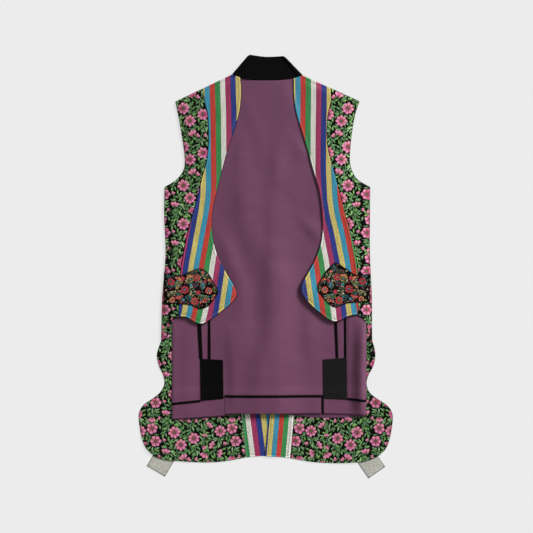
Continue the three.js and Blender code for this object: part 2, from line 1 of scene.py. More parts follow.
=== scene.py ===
from math import atan2, ceil, cos, dist, exp, floor, hypot, pi, radians, sin

import bpy
import numpy as np
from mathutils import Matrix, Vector, geometry, noise
from mathutils.bvhtree import BVHTree


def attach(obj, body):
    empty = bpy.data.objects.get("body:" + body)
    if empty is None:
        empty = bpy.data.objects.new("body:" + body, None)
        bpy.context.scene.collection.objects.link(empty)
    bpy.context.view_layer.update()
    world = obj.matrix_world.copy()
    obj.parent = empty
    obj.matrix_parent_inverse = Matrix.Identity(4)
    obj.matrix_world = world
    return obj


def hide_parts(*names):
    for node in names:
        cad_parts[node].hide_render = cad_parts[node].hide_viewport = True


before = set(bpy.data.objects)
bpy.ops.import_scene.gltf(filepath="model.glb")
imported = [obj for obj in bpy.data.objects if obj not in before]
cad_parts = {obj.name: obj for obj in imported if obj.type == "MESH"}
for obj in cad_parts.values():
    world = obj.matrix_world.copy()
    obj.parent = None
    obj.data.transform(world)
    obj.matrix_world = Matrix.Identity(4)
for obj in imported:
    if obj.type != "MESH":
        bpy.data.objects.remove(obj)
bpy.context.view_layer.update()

# All tables are in millimetres, with X across the garment, Y from the hem to the collar and Z up.
# The middle of the outline, in the tables' numbers, is the frame's origin.
MIDDLE = (0.203, -1.229)
GAP = 0.3
HALF_GAP = GAP / 2
SHELL = 1.6
FACING = 0.8

# Cloth as it is sewn: thinner than the solids it lies on, with turned edges.
THICK = {
    "shell": 1.25,
    "lining": 0.75,
    "facing": 0.6,
    "tape": 0.65,
    "panel": 0.8,
    "front": 1.35,
    "pocket": 1.0,
    "collar": 1.2,
    "end": 1.3,
    "tab": 0.9,
}

FRONT_RISE = {"height": 2.4, "width": 18}
NECK_ZONE = {"half": 113, "above": 340}
# Where the lobes lift off the lining, as x, y, height.
LOBE_TIPS = [(-72, -62, 4.4), (-150, -108, 3.0), (86, -50, 6.0), (128, -104, 3.4)]
LOBE_REACH = 48
UNDERLAP = 15
LAP = {"before": 6, "after": 20, "slope": 20, "bridge": 75}
HEM_STEP = {"from": -262, "over": 18}
TAB_REACH = 45
TAB_LIFT = 1.3

SHOULDER = {
    "left": {"tip": (-199, 362), "neck": (-72.5, 422.5)},
    "right": {"tip": (206.5, 363), "neck": (80.5, 420)},
}
SIGN = {"left": 1, "right": -1}

# Armhole edges, as y, left x, right x.
ARMHOLE = [
    (362, -199, 206.5), (333, -193, 197), (300, -187, 191), (262, -181, 186.5),
    (230, -178, 185.5), (209, -182, 190.5), (190, -197, 203), (174, -222.5, 230),
]
# Side edges down to the corner of the hem, as y, left x, right x.
SIDE = [
    (174, -222.5, 230), (110, -223.5, 229.5), (27, -220.5, 229.5), (-65, -227.5, 233.5),
    (-130, -229.5, 234), (-162, -230, 234.5), (-180, -236, 239.5), (-198, -239.7, 241.5),
    (-220, -235, 237), (-240, -226, 226.5), (-258, -223, 222.3), (-276, -231, 227.5),
    (-290, -247, 242.5), (-306, -269.5, 267), (-326, -279.3, 279.3), (-355, -277.5, 278),
    (-382, -272, 272.5), (-402, -263, 264.5), (-417, -248, 250),
]
COLUMN = {"left": 1, "right": 2}
# The hem, as x, y.
HEM = [
    (-248, -417), (-222, -426), (-190, -429.5), (-135, -432.5), (-88, -429.5), (-47, -421.5),
    (-8, -418.3), (30, -420.3), (58, -423.5), (98, -430.8), (150, -434.2), (203, -432),
    (228, -427), (250, -417),
]
BACK_SEAM = {
    "left": {"hem": (-43, -421), "top": (-126, 396.8)},
    "right": {"hem": (53.5, -422.8), "top": (132, 396.7)},
}
# The centre edge of the right half of the back, as y, x.
CENTRE_BACK = [(408, 7.8), (-329, 7.8), (-418.6, -1.4)]
NECK = [(-72.5, 422.5), (-58, 415.5), (-40, 410.8), (0, 408.6), (38, 409.6), (62, 413.2), (80.5, 420)]
COLLAR_TOP = [(-36, 465.2), (1, 460.3), (40, 462)]
COLLAR_FOLD = 5.2

FRONT_EDGE = {
    "left": [
        (-56, 414.5), (-54, 384), (-57, 345), (-67, 305), (-85, 252), (-105, 175), (-117, 122),
        (-118, 76), (-108, 30), (-88, -12), (-70, -43), (-64, -62), (-73, -78), (-97, -99),
        (-121, -117), (-141, -127), (-158, -121.5), (-173, -112.5), (-191, -111),
    ],
    "right": [
        (61, 412.5), (62, 374), (66, 342), (76, 306), (91, 258), (105, 208), (117, 168),
        (123.5, 122), (125, 86), (121, 50), (109, 15), (92, -17), (80.5, -37), (78, -50),
        (83, -66), (100, -86), (120, -103), (137, -116), (154, -122), (170, -116), (184, -109),
        (202, -106.5),
    ],
}
ARCH = {
    "left": [(-191, -111), (-201, -115), (-209, -126), (-212, -142), (-216, -154), (-230, -165)],
    "right": [(202, -106.5), (211, -111.5), (219, -122), (224, -139), (227.5, -151), (234.5, -163)],
}
FRONT_SEAM = {
    "left": [
        (-139, 390.7), (-134, 360), (-128, 334), (-126, 302), (-126, 270), (-130, 230),
        (-140, 195), (-149, 155), (-160, 116), (-171, 75), (-180, 33), (-187, -10), (-190, -60),
        (-191, -111),
    ],
    "right": [
        (143, 391.7), (143, 362), (137, 337), (134, 305), (135, 270), (141, 238), (151, 204),
        (162, 162), (173, 118), (185, 78), (195, 38), (201.5, -5), (204, -50), (202, -106.5),
    ],
}
POCKET = {
    "left": [
        (-206, -19), (-187, -20.5), (-168, -12), (-144, -5), (-127, -15), (-116, -32),
        (-104, -55), (-112, -71), (-126, -88), (-145, -94), (-163, -86), (-186, -83.5),
        (-208, -83),
    ],
    "right": [
        (212, -19), (197, -18.5), (176, -5), (154, 7.5), (137, -5), (124, -23), (113, -48),
        (125, -68), (141, -85), (156, -90.5), (177, -82.5), (197, -80), (212, -79),
    ],
}
POCKET_SIDE = {
    "left": [(-224, -83), (-224, -14)],
    "right": [(229.5, -78.5), (229.5, -16)],
}
LINING_SIDE = {"left": -206, "right": 221.5}
LINING_TOP = -74
VENT = {"left": -145, "right": 180.5}
LINING_HALF = [
    (405, -62, 66), (392, -100, 104), (330, -118, 124), (250, -128, 134), (200, -134, 142),
    (120, -152, 156), (20, -150, 158), (-74, -146, 160),
]
BAND = {
    "left": {"ends": (-206, -90.4), "top": (-303, -290.5), "bottom": (-336.5, -328.5)},
    "middle": {"ends": (-90.1, 123.2), "top": (-286, -286), "bottom": (-324.6, -323.8)},
    "right": {"ends": (127.4, 221.5), "top": (-290.2, -295.5), "bottom": (-323.8, -326.4)},
}
FACING_DROP = {"left": 4, "right": 8.5}
FACING_END = {"left": -52, "right": 22}
FACING_TOP = -298
TAPE_HALF = 2.6
HEM_TAPES = {
    "left": {"ends": (-206, -143), "y": (-303, -296.2)},
    "middle": {"ends": (-90, 122.5), "y": (-286, -286)},
    "right": {"ends": (179.6, 221.5), "y": (-292, -295.6)},
}
DROP_TAPE = [(122.9, -283), (126.1, -283), (126.9, -325), (122.9, -325)]
VENT_PANELS = {
    "left": [(-144, -203.6), (-94, -206.2), (-92.4, -291.2), (-142.6, -296.4)],
    "right": [(125.6, -205.2), (178.4, -201.4), (179.2, -293.7), (126.6, -291)],
}
# Upright tapes, as name, top, foot, width at the top, width at the foot.
BARS = [
    ("bar_left_outer", (-147.6, -98), (-142.2, -203.2), 9.4, 7.6),
    ("bar_left_inner", (-124.2, -98), (-124, -204.2), 5.2, 6.4),
    ("bar_right_inner", (153, -98), (157, -202.2), 6.8, 5.8),
    ("bar_right_outer", (174.8, -98), (175.2, -201), 5.6, 5.6),
]
TABS = {
    "left": {"centre": (-228.3, -428.7), "size": (46.6, 54), "turn": -30.4},
    "right": {"centre": (229.6, -432.6), "size": (45.2, 54), "turn": 34.6},
}

# Creases of the lining: how far each falls away to the left and right, then its crest as x, y, height.
CREASES = [
    (18, 30, [(21, 172, 0.0), (16, 134, 1.6), (17, 112, 2.6), (18, 90, 2.5), (18, 68, 2.0),
     (19, 44, 2.9), (16, 22, 2.9), (14, -4, 3.4), (16, -53, 0.0)]),
    (30, 44, [(14, 57, 0.0), (14, 9, 2.4), (16, -20, 5.6), (18, -46, 7.6), (19, -75, 8.0),
     (19, -108, 8.6), (18, -134, 9.6), (14, -158, 9.8), (5, -185, 9.8), (-5, -211, 9.4),
     (-10, -240, 8.8), (-12, -273, 6.0), (-12, -325, 3.4)]),
    (25, 40, [(32, -141, 0.0), (32, -189, 1.1), (34, -220, 2.4), (33, -244, 2.5),
     (33, -273, 3.2), (33, -325, 3.6)]),
    (18, 22, [(40, 321, 0.0), (29, 264, 1.8), (25, 238, 2.8), (23, 216, 2.8), (21, 189, 2.4),
     (16, 159, 1.1), (12, 110, 0.0)]),
    (34, 40, [(-70, 343, 0.0), (-59, 282, 1.2), (-52, 255, 1.5), (-52, 233, 2.1),
     (-54, 211, 3.0), (-54, 189, 3.9), (-50, 167, 4.3), (-49, 145, 4.6), (-50, 119, 4.6),
     (-43, 88, 4.7), (-30, 53, 4.1), (-4, 0, 0.0)]),
    (12, 18, [(-50, 220, 0.0), (-52, 185, 0.0), (-52, 163, 0.6), (-52, 139, 1.2),
     (-52, 115, 0.5), (-48, 84, 0.0)]),
    (13, 16, [(-56, 304, 0.0), (-54, 264, 0.8), (-56, 242, 1.4), (-59, 220, 1.0),
     (-61, 185, 0.0)]),
    (18, 22, [(-129, 119, 0.0), (-100, 68, 1.5), (-89, 46, 3.1), (-81, 24, 4.0), (-74, 2, 3.9),
     (-64, -20, 3.1), (-56, -42, 2.8), (-54, -66, 2.8), (-59, -92, 2.1), (-74, -127, 0.0)]),
    (56, 33, [(-56, -35, 0.0), (-52, -97, 3.4), (-52, -136, 6.2), (-52, -176, 6.4),
     (-52, -218, 5.0), (-52, -259, 5.0), (-52, -325, 2.0)]),
    (12, 20, [(-75, -120, 0.0), (-74, -152, 1.2), (-72, -198, 2.1), (-70, -229, 2.4),
     (-70, -273, 2.2), (-70, -325, 0.3)]),
    (20, 14, [(36, 326, 0.0), (60, 280, 0.9), (76, 255, 2.0), (91, 231, 0.1), (124, 181, 0.0)]),
    (30, 16, [(32, 431, 0.0), (51, 376, 1.7), (60, 348, 1.9), (69, 324, 1.7), (89, 273, 0.0)]),
    (16, 18, [(-52, 387, 0.0), (-32, 330, 1.1), (-21, 304, 0.8), (-12, 277, 0.6),
     (5, 229, 0.0)]),
    (13, 18, [(49, 141, 0.0), (80, 106, 0.7), (102, 79, 3.0), (120, 60, 1.1), (150, 27, 0.0)]),
    (10, 16, [(32, 181, 0.0), (71, 152, 0.4), (87, 139, 0.3), (124, 115, 0.0)]),
    (16, 22, [(91, -61, 0.0), (95, -110, 2.0), (96, -149, 2.5), (98, -185, 1.5),
     (102, -211, 1.0), (106, -240, 0.3), (109, -273, 0.0), (109, -325, 1.5)]),
    (15, 12, [(214, -112, 0.0), (213, -140, 5.8), (212, -170, 9.5), (210, -230, 10.4),
     (210, -300, 9.6), (210, -334, 5.0)]),
    (5, 6, [(167, -100, 0.0), (167, -160, 1.0), (167, -204, 0.0)]),
    (16, 26, [(-166, -90, 0.0), (-168, -150, 1.2), (-170, -230, 1.2), (-172, -310, 0.8)]),
]

# A ridge of the flowered back beside the right strip of the lining.
BACK_RIDGES = [
    (12, 9, [(236, -112, 0.0), (237, -138, 3.4), (238, -168, 3.4), (234, -196, 0.0)]),
]

# The lining's lower part lies looser, and rolls down at its side edges.
LOOSE = {"from": -110, "over": 50, "lift": 0.9, "roll": 5, "drop": 0.7}

# Stripes: the colour order, their width, and where a guide line between two colours runs, as y, x.
STRIPES = ["yellow", "sky", "red", "green", "white", "magenta", "blue"]
STRIPE_WIDTH = 11.5
FRONT_GUIDE = {
    "left": {
        "colour": 2.5,
        "rows": [
            (410, -118), (385, -117.5), (345, -116), (200, -114.4), (167, -114.3), (145, -115.8),
            (123, -118.8), (101, -122.6), (79, -126.6), (57, -130.7), (35, -134.6), (13, -138.8),
            (-97, -155), (-130, -163),
        ],
    },
    "right": {
        "colour": 6.5,
        "rows": [
            (410, 127.8), (385, 128.4), (300, 127.2), (210, 126.6), (145, 129.4), (123, 132.8),
            (101, 137.3), (79, 142.9), (57, 147.6), (35, 151.5), (13, 156), (-97, 171.3),
            (-130, 175),
        ],
    },
}
BACK_GUIDE = {
    "left": {"colour": 5.5, "rows": [(420, -120), (-331, -28.5), (-421, -16.8)], "width": 11.6},
    "right": {"colour": 2.5, "rows": [(420, 105), (-331, 35.5), (-421, 27.7)], "width": 10.4},
}

SHADES = {
    "yellow": (0.52, 0.43, 0.13),
    "sky": (0.038, 0.245, 0.36),
    "red": (0.45, 0.040, 0.028),
    "green": (0.034, 0.22, 0.062),
    "white": (0.61, 0.60, 0.54),
    "magenta": (0.30, 0.028, 0.095),
    "blue": (0.019, 0.034, 0.195),
}


def metres(x, y, z):
    return ((x - MIDDLE[0]) / 1000, (y - MIDDLE[1]) / 1000, z / 1000)


def ease(t):
    c = min(1.0, max(0.0, t))
    return c * c * (3 - 2 * c)


def at(rows, column, y):
    """The value of a column at height y, straight between rows that run down in y."""
    if y >= rows[0][0]:
        return rows[0][column]
    for above, below in zip(rows, rows[1:]):
        if y >= below[0]:
            share = (above[0] - y) / (above[0] - below[0])
            return above[column] + share * (below[column] - above[column])
    return rows[-1][column]


# Heights of the layers over the surface.


def inset_at(x, y):
    """How far a point lies inside the seams that join the fronts to the back."""
    rows = ARMHOLE if y > SIDE[0][0] else SIDE
    seam = SHOULDER["left" if x < 0 else "right"]
    share = (x - seam["tip"][0]) / (seam["neck"][0] - seam["tip"][0])
    top = seam["tip"][1] + share * (seam["neck"][1] - seam["tip"][1])
    return max(0.0, min(x - at(rows, 1, y), at(rows, 2, y) - x, top - y))


def lap_rise(x, y, slope=LAP["slope"]):
    past = x - at(CENTRE_BACK, 1, y)
    up = ease((past + LAP["before"] + slope) / slope)
    return (SHELL + GAP) * up * (1 - ease((past - LAP["after"]) / slope))


def tab_rise(x, y):
    near = min(hypot(x - t["centre"][0], y - t["centre"][1]) for t in TABS.values())
    return TAB_LIFT * ease((2 * TAB_REACH - near) / TAB_REACH)


# A crease is felt this many times its width away.
CREASE_REACH = 2.6


def crease_rise(x, y, left, right, line):
    """The height that one crease adds at a point."""
    best, side, height = CREASE_REACH * max(left, right), 1, 0.0
    for (ax, ay, low), (bx, by, high) in zip(line, line[1:]):
        dx, dy = bx - ax, by - ay
        t = min(1.0, max(0.0, ((x - ax) * dx + (y - ay) * dy) / (dx * dx + dy * dy)))
        px, py = x - ax - t * dx, y - ay - t * dy
        far = hypot(px, py)
        if far < best:
            best, side, height = far, dx * py - dy * px, low + (high - low) * t
    width = right if side > 0 else left
    return height * exp(-((best / width) ** 2))


def fold_rise(x, y):
    return sum(crease_rise(x, y, *crease) for crease in CREASES)


def loose_rise(x, y):
    inside = min(x - LINING_SIDE["left"], LINING_SIDE["right"] - x)
    rolled = LOOSE["drop"] * (1 - ease(inside / LOOSE["roll"]))
    return (LOOSE["lift"] - rolled) * ease((LOOSE["from"] - y) / LOOSE["over"])


def soft_wave(x, y, seed, size, height):
    """A slow unevenness of laid cloth, the same each run."""
    return height * noise.noise(Vector((x / size, y / size, seed)))


def lapped_floor(x, y):
    return SHELL + lap_rise(x, y)


def facing_step(y):
    return (FACING + GAP) * ease((HEM_STEP["from"] - y) / HEM_STEP["over"])


# How loosely the cloths lie: the room kept under each, and its waves as seed, size, height.
ROOM = {"lining": 0.25, "front": 0.5, "pocket": 0.25, "tape": 0.3, "panel": 0.35, "collar": 0.35, "tab": 0.05}
LINING_WAVES = [(3.7, 70, 0.5), (9.1, 26, 0.16)]
FRONT_WAVE = (5.3, 55, 0.35)


def lining_under(x, y):
    wave = sum(soft_wave(x, y, *sizes) for sizes in LINING_WAVES)
    bridged = SHELL + lap_rise(x, y, LAP["bridge"])
    return bridged + GAP + facing_step(y) + fold_rise(x, y) + loose_rise(x, y) + ROOM["lining"] + wave


def lining_over(x, y):
    return lining_under(x, y) + THICK["lining"]


def lobe_rise(x, y):
    shares = [(height, hypot(x - a, y - b) / LOBE_REACH) for a, b, height in LOBE_TIPS]
    return sum(height * exp(-(away**2)) for height, away in shares)


def front_under(x, y):
    inside = inset_at(x, y)
    rise = FRONT_RISE["height"] * ease(inside / FRONT_RISE["width"])
    free = SHELL + GAP + rise + lobe_rise(x, y)
    if abs(x) < NECK_ZONE["half"] and y > NECK_ZONE["above"] or inside > FRONT_RISE["width"]:
        free = max(free, lining_over(x, y) + ROOM["front"])
    return free + soft_wave(x, y, *FRONT_WAVE)


def front_over(x, y):
    return front_under(x, y) + THICK["front"]


def shell_under(x, y):
    return GAP + tab_rise(x, y) + sum(crease_rise(x, y, *ridge) for ridge in BACK_RIDGES)


def lapped_under(x, y):
    return GAP + lap_rise(x, y)


def facing_under(x, y):
    return lapped_floor(x, y) + GAP


def on_lining(kind):
    return lambda x, y: lining_over(x, y) + ROOM[kind]


def on_front(x, y):
    return front_over(x, y) + ROOM["pocket"]


# Outlines.


def catmull(a, b, c, d, t):
    return 0.5 * (
        2 * b + (c - a) * t + (2 * a - 5 * b + 4 * c - d) * t * t + (3 * b - a - 3 * c + d) * t**3
    )


def spline(rows, step=4.0):
    """Points about a step apart on a smooth curve through the rows, without the last one."""
    out = []
    last = len(rows) - 1
    for i in range(last):
        a, b, c, d = rows[max(i - 1, 0)], rows[i], rows[i + 1], rows[min(i + 2, last)]
        count = max(1, round(dist(b, c) / step))
        for k in range(count):
            out.append(tuple(catmull(a[n], b[n], c[n], d[n], k / count) for n in (0, 1)))
    return out


def straight(a, b, step=4.0):
    count = max(1, round(dist(a, b) / step))
    return [tuple(a[n] + (b[n] - a[n]) * k / count for n in (0, 1)) for k in range(count)]


def area_of(loop):
    return 0.5 * sum(a[0] * b[1] - b[0] * a[1] for a, b in zip(loop, loop[1:] + loop[:1]))


def outline(*runs):
    """A closed outline from runs of points: two make a straight edge, more a smooth curve."""
    loop = []
    for run, after in zip(runs, runs[1:] + runs[:1]):
        loop += straight(*run) if len(run) == 2 else spline(run)
        if dist(run[-1], after[0]) > 0.5:
            loop += straight(run[-1], after[0])
    loop = [p for p, q in zip(loop, loop[1:] + loop[:1]) if dist(p, q) > 0.4]
    return loop if area_of(loop) > 0 else loop[::-1]


def column(rows, side):
    return [(row[COLUMN[side]], row[0]) for row in rows]


def between(rows, start, end, apart=12):
    """The part of a table between two x values."""

    def height(x):
        i = max(1, next((k for k, row in enumerate(rows) if row[0] >= x), len(rows) - 1))
        (ax, ay), (bx, by) = rows[i - 1], rows[i]
        return ay + (x - ax) / (bx - ax) * (by - ay)

    inner = [row for row in rows if start + apart < row[0] < end - apart]
    return [(start, height(start)), *inner, (end, height(end))]


def moved(rows, dx=0.0, dy=0.0):
    return [(x + dx, y + dy) for x, y in rows]


def inset(loop, by):
    """The outline moved inwards, along the middle of each corner."""
    out = []
    count = len(loop)
    for i in range(count):
        a, b, c = loop[i - 1], loop[i], loop[(i + 1) % count]
        before = Vector((b[0] - a[0], b[1] - a[1])).normalized()
        after = Vector((c[0] - b[0], c[1] - b[1])).normalized()
        middle = Vector((-before.y - after.y, before.x + after.x))
        if middle.length < 1e-6:
            middle = Vector((-before.y, before.x))
        middle.normalize()
        lean = max(0.5, middle.dot(Vector((-before.y, before.x))))
        out.append((b[0] + middle.x * by / lean, b[1] + middle.y * by / lean))
    return out


def segments(loop):
    a = np.array(loop, float)
    return a, np.roll(a, -1, axis=0)


def edge_distance(spots, loop):
    """Distance from each spot to the outline, in millimetres."""
    spots = np.asarray(spots, float).reshape(-1, 2)
    a, b = segments(loop)
    d = b - a
    size = (d * d).sum(1)
    out = np.empty(len(spots))
    for start in range(0, len(spots), 2000):
        p = spots[start : start + 2000, None, :]
        t = np.clip(((p - a) * d).sum(2) / size, 0, 1)
        out[start : start + 2000] = np.sqrt((((a + t[..., None] * d) - p) ** 2).sum(2).min(1))
    return out


def inside_loop(spots, loop):
    spots = np.asarray(spots, float).reshape(-1, 2)
    a, b = segments(loop)
    out = np.zeros(len(spots), bool)
    for start in range(0, len(spots), 4000):
        x = spots[start : start + 4000, 0, None]
        y = spots[start : start + 4000, 1, None]
        crosses = (a[:, 1] > y) != (b[:, 1] > y)
        rise = np.where(b[:, 1] == a[:, 1], 1e-9, b[:, 1] - a[:, 1])
        left_of = x < (b[:, 0] - a[:, 0]) * (y - a[:, 1]) / rise + a[:, 0]
        out[start : start + 4000] = (crosses & left_of).sum(1) % 2 == 1
    return out


# Cloth pieces.

CLOTH = {}
ROOT = "root"
# Where a mesh's outer ring lies, as a share of the thickness, and the rows along a turned edge.
RING = 0.9
TURN_ROWS = (2.4, 5.0, 7.6)
# The rounded edge, as inset and height in shares of the thickness.
RIM = ((0.28, 0.86), (0.0, 0.5), (0.28, 0.14))
# The distance between rows of even triangles, as a share of their sides.
ROW_RISE = 0.866


def cut_size(loop):
    """The sides, in metres, of the smallest rectangle that a cut piece fits in."""
    spots = np.array(loop)
    sizes = []
    for turn in range(0, 90, 2):
        c, s = cos(radians(turn)), sin(radians(turn))
        across, up = spots[:, 0] * c + spots[:, 1] * s, spots[:, 1] * c - spots[:, 0] * s
        sizes.append((np.ptp(across) / 1000, np.ptp(up) / 1000))
    return min(sizes, key=lambda size: size[0] * size[1])


def new_object(name, verts, faces, look):
    """A smooth dressed object that rides on the part's body."""
    mesh = bpy.data.meshes.new(name)
    mesh.from_pydata(verts, [], faces)
    mesh.update()
    mesh.polygons.foreach_set("use_smooth", [True] * len(mesh.polygons))
    mesh.materials.append(LOOK[look])
    made = bpy.data.objects.new(name, mesh)
    bpy.context.scene.collection.objects.link(made)
    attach(made, ROOT)
    return made


def add_attribute(made, name, values, kind="FLOAT"):
    layer = made.data.attributes.new(name, kind, "POINT")
    key = "value" if kind == "FLOAT" else "color"
    layer.data.foreach_set(key, np.asarray(values, np.float32).ravel())


def cloth_object(name, verts, faces, edges, look):
    """A cloth in its node's place, with each point's distance from the cut edge."""
    piece = new_object(f"{name}_cloth", verts, faces, look)
    add_attribute(piece, "edge", edges)
    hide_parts(name)
    return piece


def trim(name, host, verts, faces, look):
    """A piece that is stitched or woven on a cloth, and added to that cloth's extras."""
    piece = new_object(name, verts, faces, look)
    CLOTH[host]["extras"].append(piece)
    return piece


def turned(edge, depth):
    """The height of a turned and stitched edge: a soft swell, then the stitch line's groove."""
    swell = depth * exp(-(((edge - 2.2) / 1.8) ** 2))
    groove = depth * exp(-(((edge - 5.0) / 1.0) ** 2))
    return swell - groove


def unknotted(ring):
    """The ring with each small knot at a sharp corner drawn together to the point where it crosses."""
    out = list(ring)
    count = len(out)
    for apart in (2, 3, 4):
        for i in range(count):
            ends = [out[(i + k) % count] for k in (0, 1, apart, apart + 1)]
            hit = geometry.intersect_line_line_2d(*ends)
            if hit:
                for k in range(apart):
                    out[(i + 1 + k) % count] = tuple(hit)
    return out


def mesh_spots(loop, thick, step, turn):
    """The ring inside an outline, and all the flat points of the mesh that it bounds."""
    ring = unknotted(inset(loop, RING * thick))
    spots = list(ring)
    for by in TURN_ROWS if turn else ():
        row = inset(loop, by)
        keep = inside_loop(row, loop) & (edge_distance(row, loop) > 0.85 * by)
        spots += [p for p, good in zip(row, keep) if good]
    xs, ys = zip(*loop)
    margin = (TURN_ROWS[-1] if turn else RING * thick) + 0.55 * step
    grid = []
    for j in range(int((max(ys) - min(ys)) / (step * ROW_RISE)) + 1):
        y = min(ys) + j * step * ROW_RISE
        x = min(xs) + (j % 2) * step / 2
        while x < max(xs):
            grid.append((x, y))
            x += step
    keep = inside_loop(grid, loop) & (edge_distance(grid, loop) > margin)
    return ring, spots + [p for p, good in zip(grid, keep) if good]


def facing_up(face, flat):
    """The face with its corners in the order that turns it upwards."""
    a, b, c = (flat[i] for i in face[:3])
    left = (b[0] - a[0]) * (c[1] - a[1]) - (b[1] - a[1]) * (c[0] - a[0]) > 0
    return tuple(face) if left else tuple(face[::-1])


def cloth(name, loop, under, thick, look, step=5.0, turn=0.0, stripe=None):
    """One cut piece of cloth over a height function, with a thickness and rounded edges."""
    ring, spots = mesh_spots(loop, thick, step, turn)
    count = len(ring)
    links = [(i, (i + 1) % count) for i in range(count)]
    made = geometry.delaunay_2d_cdt([Vector(p) for p in spots], links, [], 1, 1e-5)
    flat, faces = [(p.x, p.y) for p in made[0]], made[2]
    place = {source: i for i, sources in enumerate(made[3]) for source in sources}
    total = len(flat)
    edge = edge_distance(flat, loop)
    top = [place[i] for i in range(count)]
    edge[top] = np.minimum(edge[top], RING * thick)
    low = [under(x, y) for x, y in flat]
    lift = [turned(e, turn) if turn else 0.0 for e in edge]
    verts = [metres(x, y, z + thick + r) for (x, y), z, r in zip(flat, low, lift)]
    verts += [metres(x, y, z) for (x, y), z in zip(flat, low)]
    up = [facing_up(face, flat) for face in faces]
    tris = up + [tuple(i + total for i in face[::-1]) for face in up]
    rims = []
    for by, share in RIM:
        line = inset(loop, by * thick) if by else loop
        start = len(verts)
        verts += [metres(x, y, under(x, y) + share * thick) for x, y in line]
        edge = np.append(edge, np.full(count, by * thick))
        rims.append([start + i for i in range(count)])
        flat += line
    chain = [top, *rims, [i + total for i in top]]
    for upper, lower in zip(chain, chain[1:]):
        for i in range(count):
            k = (i + 1) % count
            tris.append(tuple(dict.fromkeys((upper[i], lower[i], lower[k], upper[k]))))
    edges = np.concatenate([edge[:total], edge[:total], edge[total:]])
    piece = cloth_object(name, verts, tris, edges, look)
    if stripe:
        both = flat[:total] + flat[:total] + flat[total:]
        add_attribute(piece, "stripe", [stripe(x, y) for x, y in both])
    CLOTH[name] = {
        "piece": piece,
        "surface": BVHTree.FromPolygons([Vector(v) for v in verts], [f[:3] for f in up]),
        "loop": loop,
        "flat": cut_size(loop),
        "area": abs(area_of(loop)) / 1e6,
        "extras": [],
    }


# Rays towards a cloth start at this height; past its edge, the nearest point to the other one counts.
RAY_FROM = 60
NEAR_HEIGHT = 4


def lay(name, x, y, above=0.0):
    """A point on the top of a cloth, moved out."""
    surface = CLOTH[name]["surface"]
    spot = Vector(metres(x, y, RAY_FROM))
    hit = surface.ray_cast(spot, Vector((0, 0, -1)))[0]
    if hit is None:
        hit = surface.find_nearest(Vector((spot.x, spot.y, NEAR_HEIGHT / 1000)))[0]
        return (spot.x, spot.y, hit.z + above / 1000)
    return (hit.x, hit.y, hit.z + above / 1000)


# Outlines of the pieces.


def back_floral(side):
    s = SIGN[side]
    seam = BACK_SEAM[side]
    seam_x = seam["hem"][0] - s * HALF_GAP
    hem = between(HEM, HEM[0][0], seam_x) if side == "left" else between(HEM, seam_x, HEM[-1][0])[::-1]
    top = (seam["top"][0] - s * HALF_GAP, seam["top"][1])
    return outline(column(ARMHOLE, side), column(SIDE, side), hem, [hem[-1], top])


def neck_edge(start, end):
    rows = between(NECK, min(start, end), max(start, end), 4)
    rows = moved(rows, 0, -GAP)
    return rows if start < end else rows[::-1]


def back_stripe(side):
    s = SIGN[side]
    seam = BACK_SEAM[side]
    lap = UNDERLAP if side == "left" else 0
    seam_x = seam["hem"][0] + s * HALF_GAP
    centre, vent, foot = [(x + lap, y) for y, x in CENTRE_BACK]
    hem = between(HEM, min(seam_x, foot[0]), max(seam_x, foot[0]))
    if side == "right":
        hem.reverse()
    neck = neck_edge(centre[0], NECK[0][0] if side == "left" else NECK[-1][0])
    top = (seam["top"][0] + s * HALF_GAP, seam["top"][1])
    return outline(hem, [hem[-1], vent], [vent, neck[0]], neck, [neck[-1], top])


def front_floral(side):
    s = SIGN[side]
    seam = moved(FRONT_SEAM[side], -s * HALF_GAP)
    end = ARCH[side][-1]
    above = [row for row in SIDE if row[0] > end[1]]
    arch = [end, *ARCH[side][1:-1][::-1], seam[-1]]
    return outline(
        [seam[0], SHOULDER[side]["tip"]],
        column(ARMHOLE, side),
        [*column(above, side), end],
        arch,
        seam[::-1],
    )


def front_stripe(side):
    s = SIGN[side]
    seam = moved(FRONT_SEAM[side], s * HALF_GAP)
    edge = list(FRONT_EDGE[side])
    edge[-1] = (edge[-1][0] + s * HALF_GAP, edge[-1][1])
    neck = neck_edge(NECK[0][0] if side == "left" else NECK[-1][0], edge[0][0])
    edge[0] = neck[-1]
    return outline(edge, seam[::-1], [seam[0], neck[0]], neck)


def band_top(name, x):
    """The height of a hem band's upper edge."""
    (start, end), (first, last) = BAND[name]["ends"], BAND[name]["top"]
    return first + (x - start) / (end - start) * (last - first) + HALF_GAP


def lining_panel():
    seam_y = BAND["middle"]["top"][0]
    left, right = VENT["left"] + HALF_GAP, VENT["right"] - HALF_GAP
    left_step = BAND["left"]["ends"][1] + HALF_GAP
    right_step = BAND["middle"]["ends"][1] + 2
    neck = neck_edge(LINING_HALF[0][1], LINING_HALF[0][2])
    below = LINING_HALF[1:]
    return outline(
        neck,
        [neck[-1], (below[0][2], below[0][0])],
        column(below, "right"),
        [(right, LINING_TOP - 6), (right, band_top("right", right))],
        [(right_step, band_top("right", right_step)), (right_step, seam_y)],
        [(left_step, seam_y), (left_step, band_top("left", left_step))],
        [(left, band_top("left", left)), (left, LINING_TOP - 6)],
        column(below, "left")[::-1],
    )


def lining_strip(side):
    s = SIGN[side]
    outer = LINING_SIDE[side]
    inner = VENT[side] - s * HALF_GAP
    inner_y, outer_y = band_top(side, inner), band_top(side, outer)
    top = LINING_TOP - 8
    return outline(
        [(outer, outer_y), (inner, inner_y)],
        [(inner, inner_y), (inner, top)],
        [(inner, top), (outer + s * 24, top)],
        [(outer, LINING_TOP - 52), (outer, outer_y)],
    )


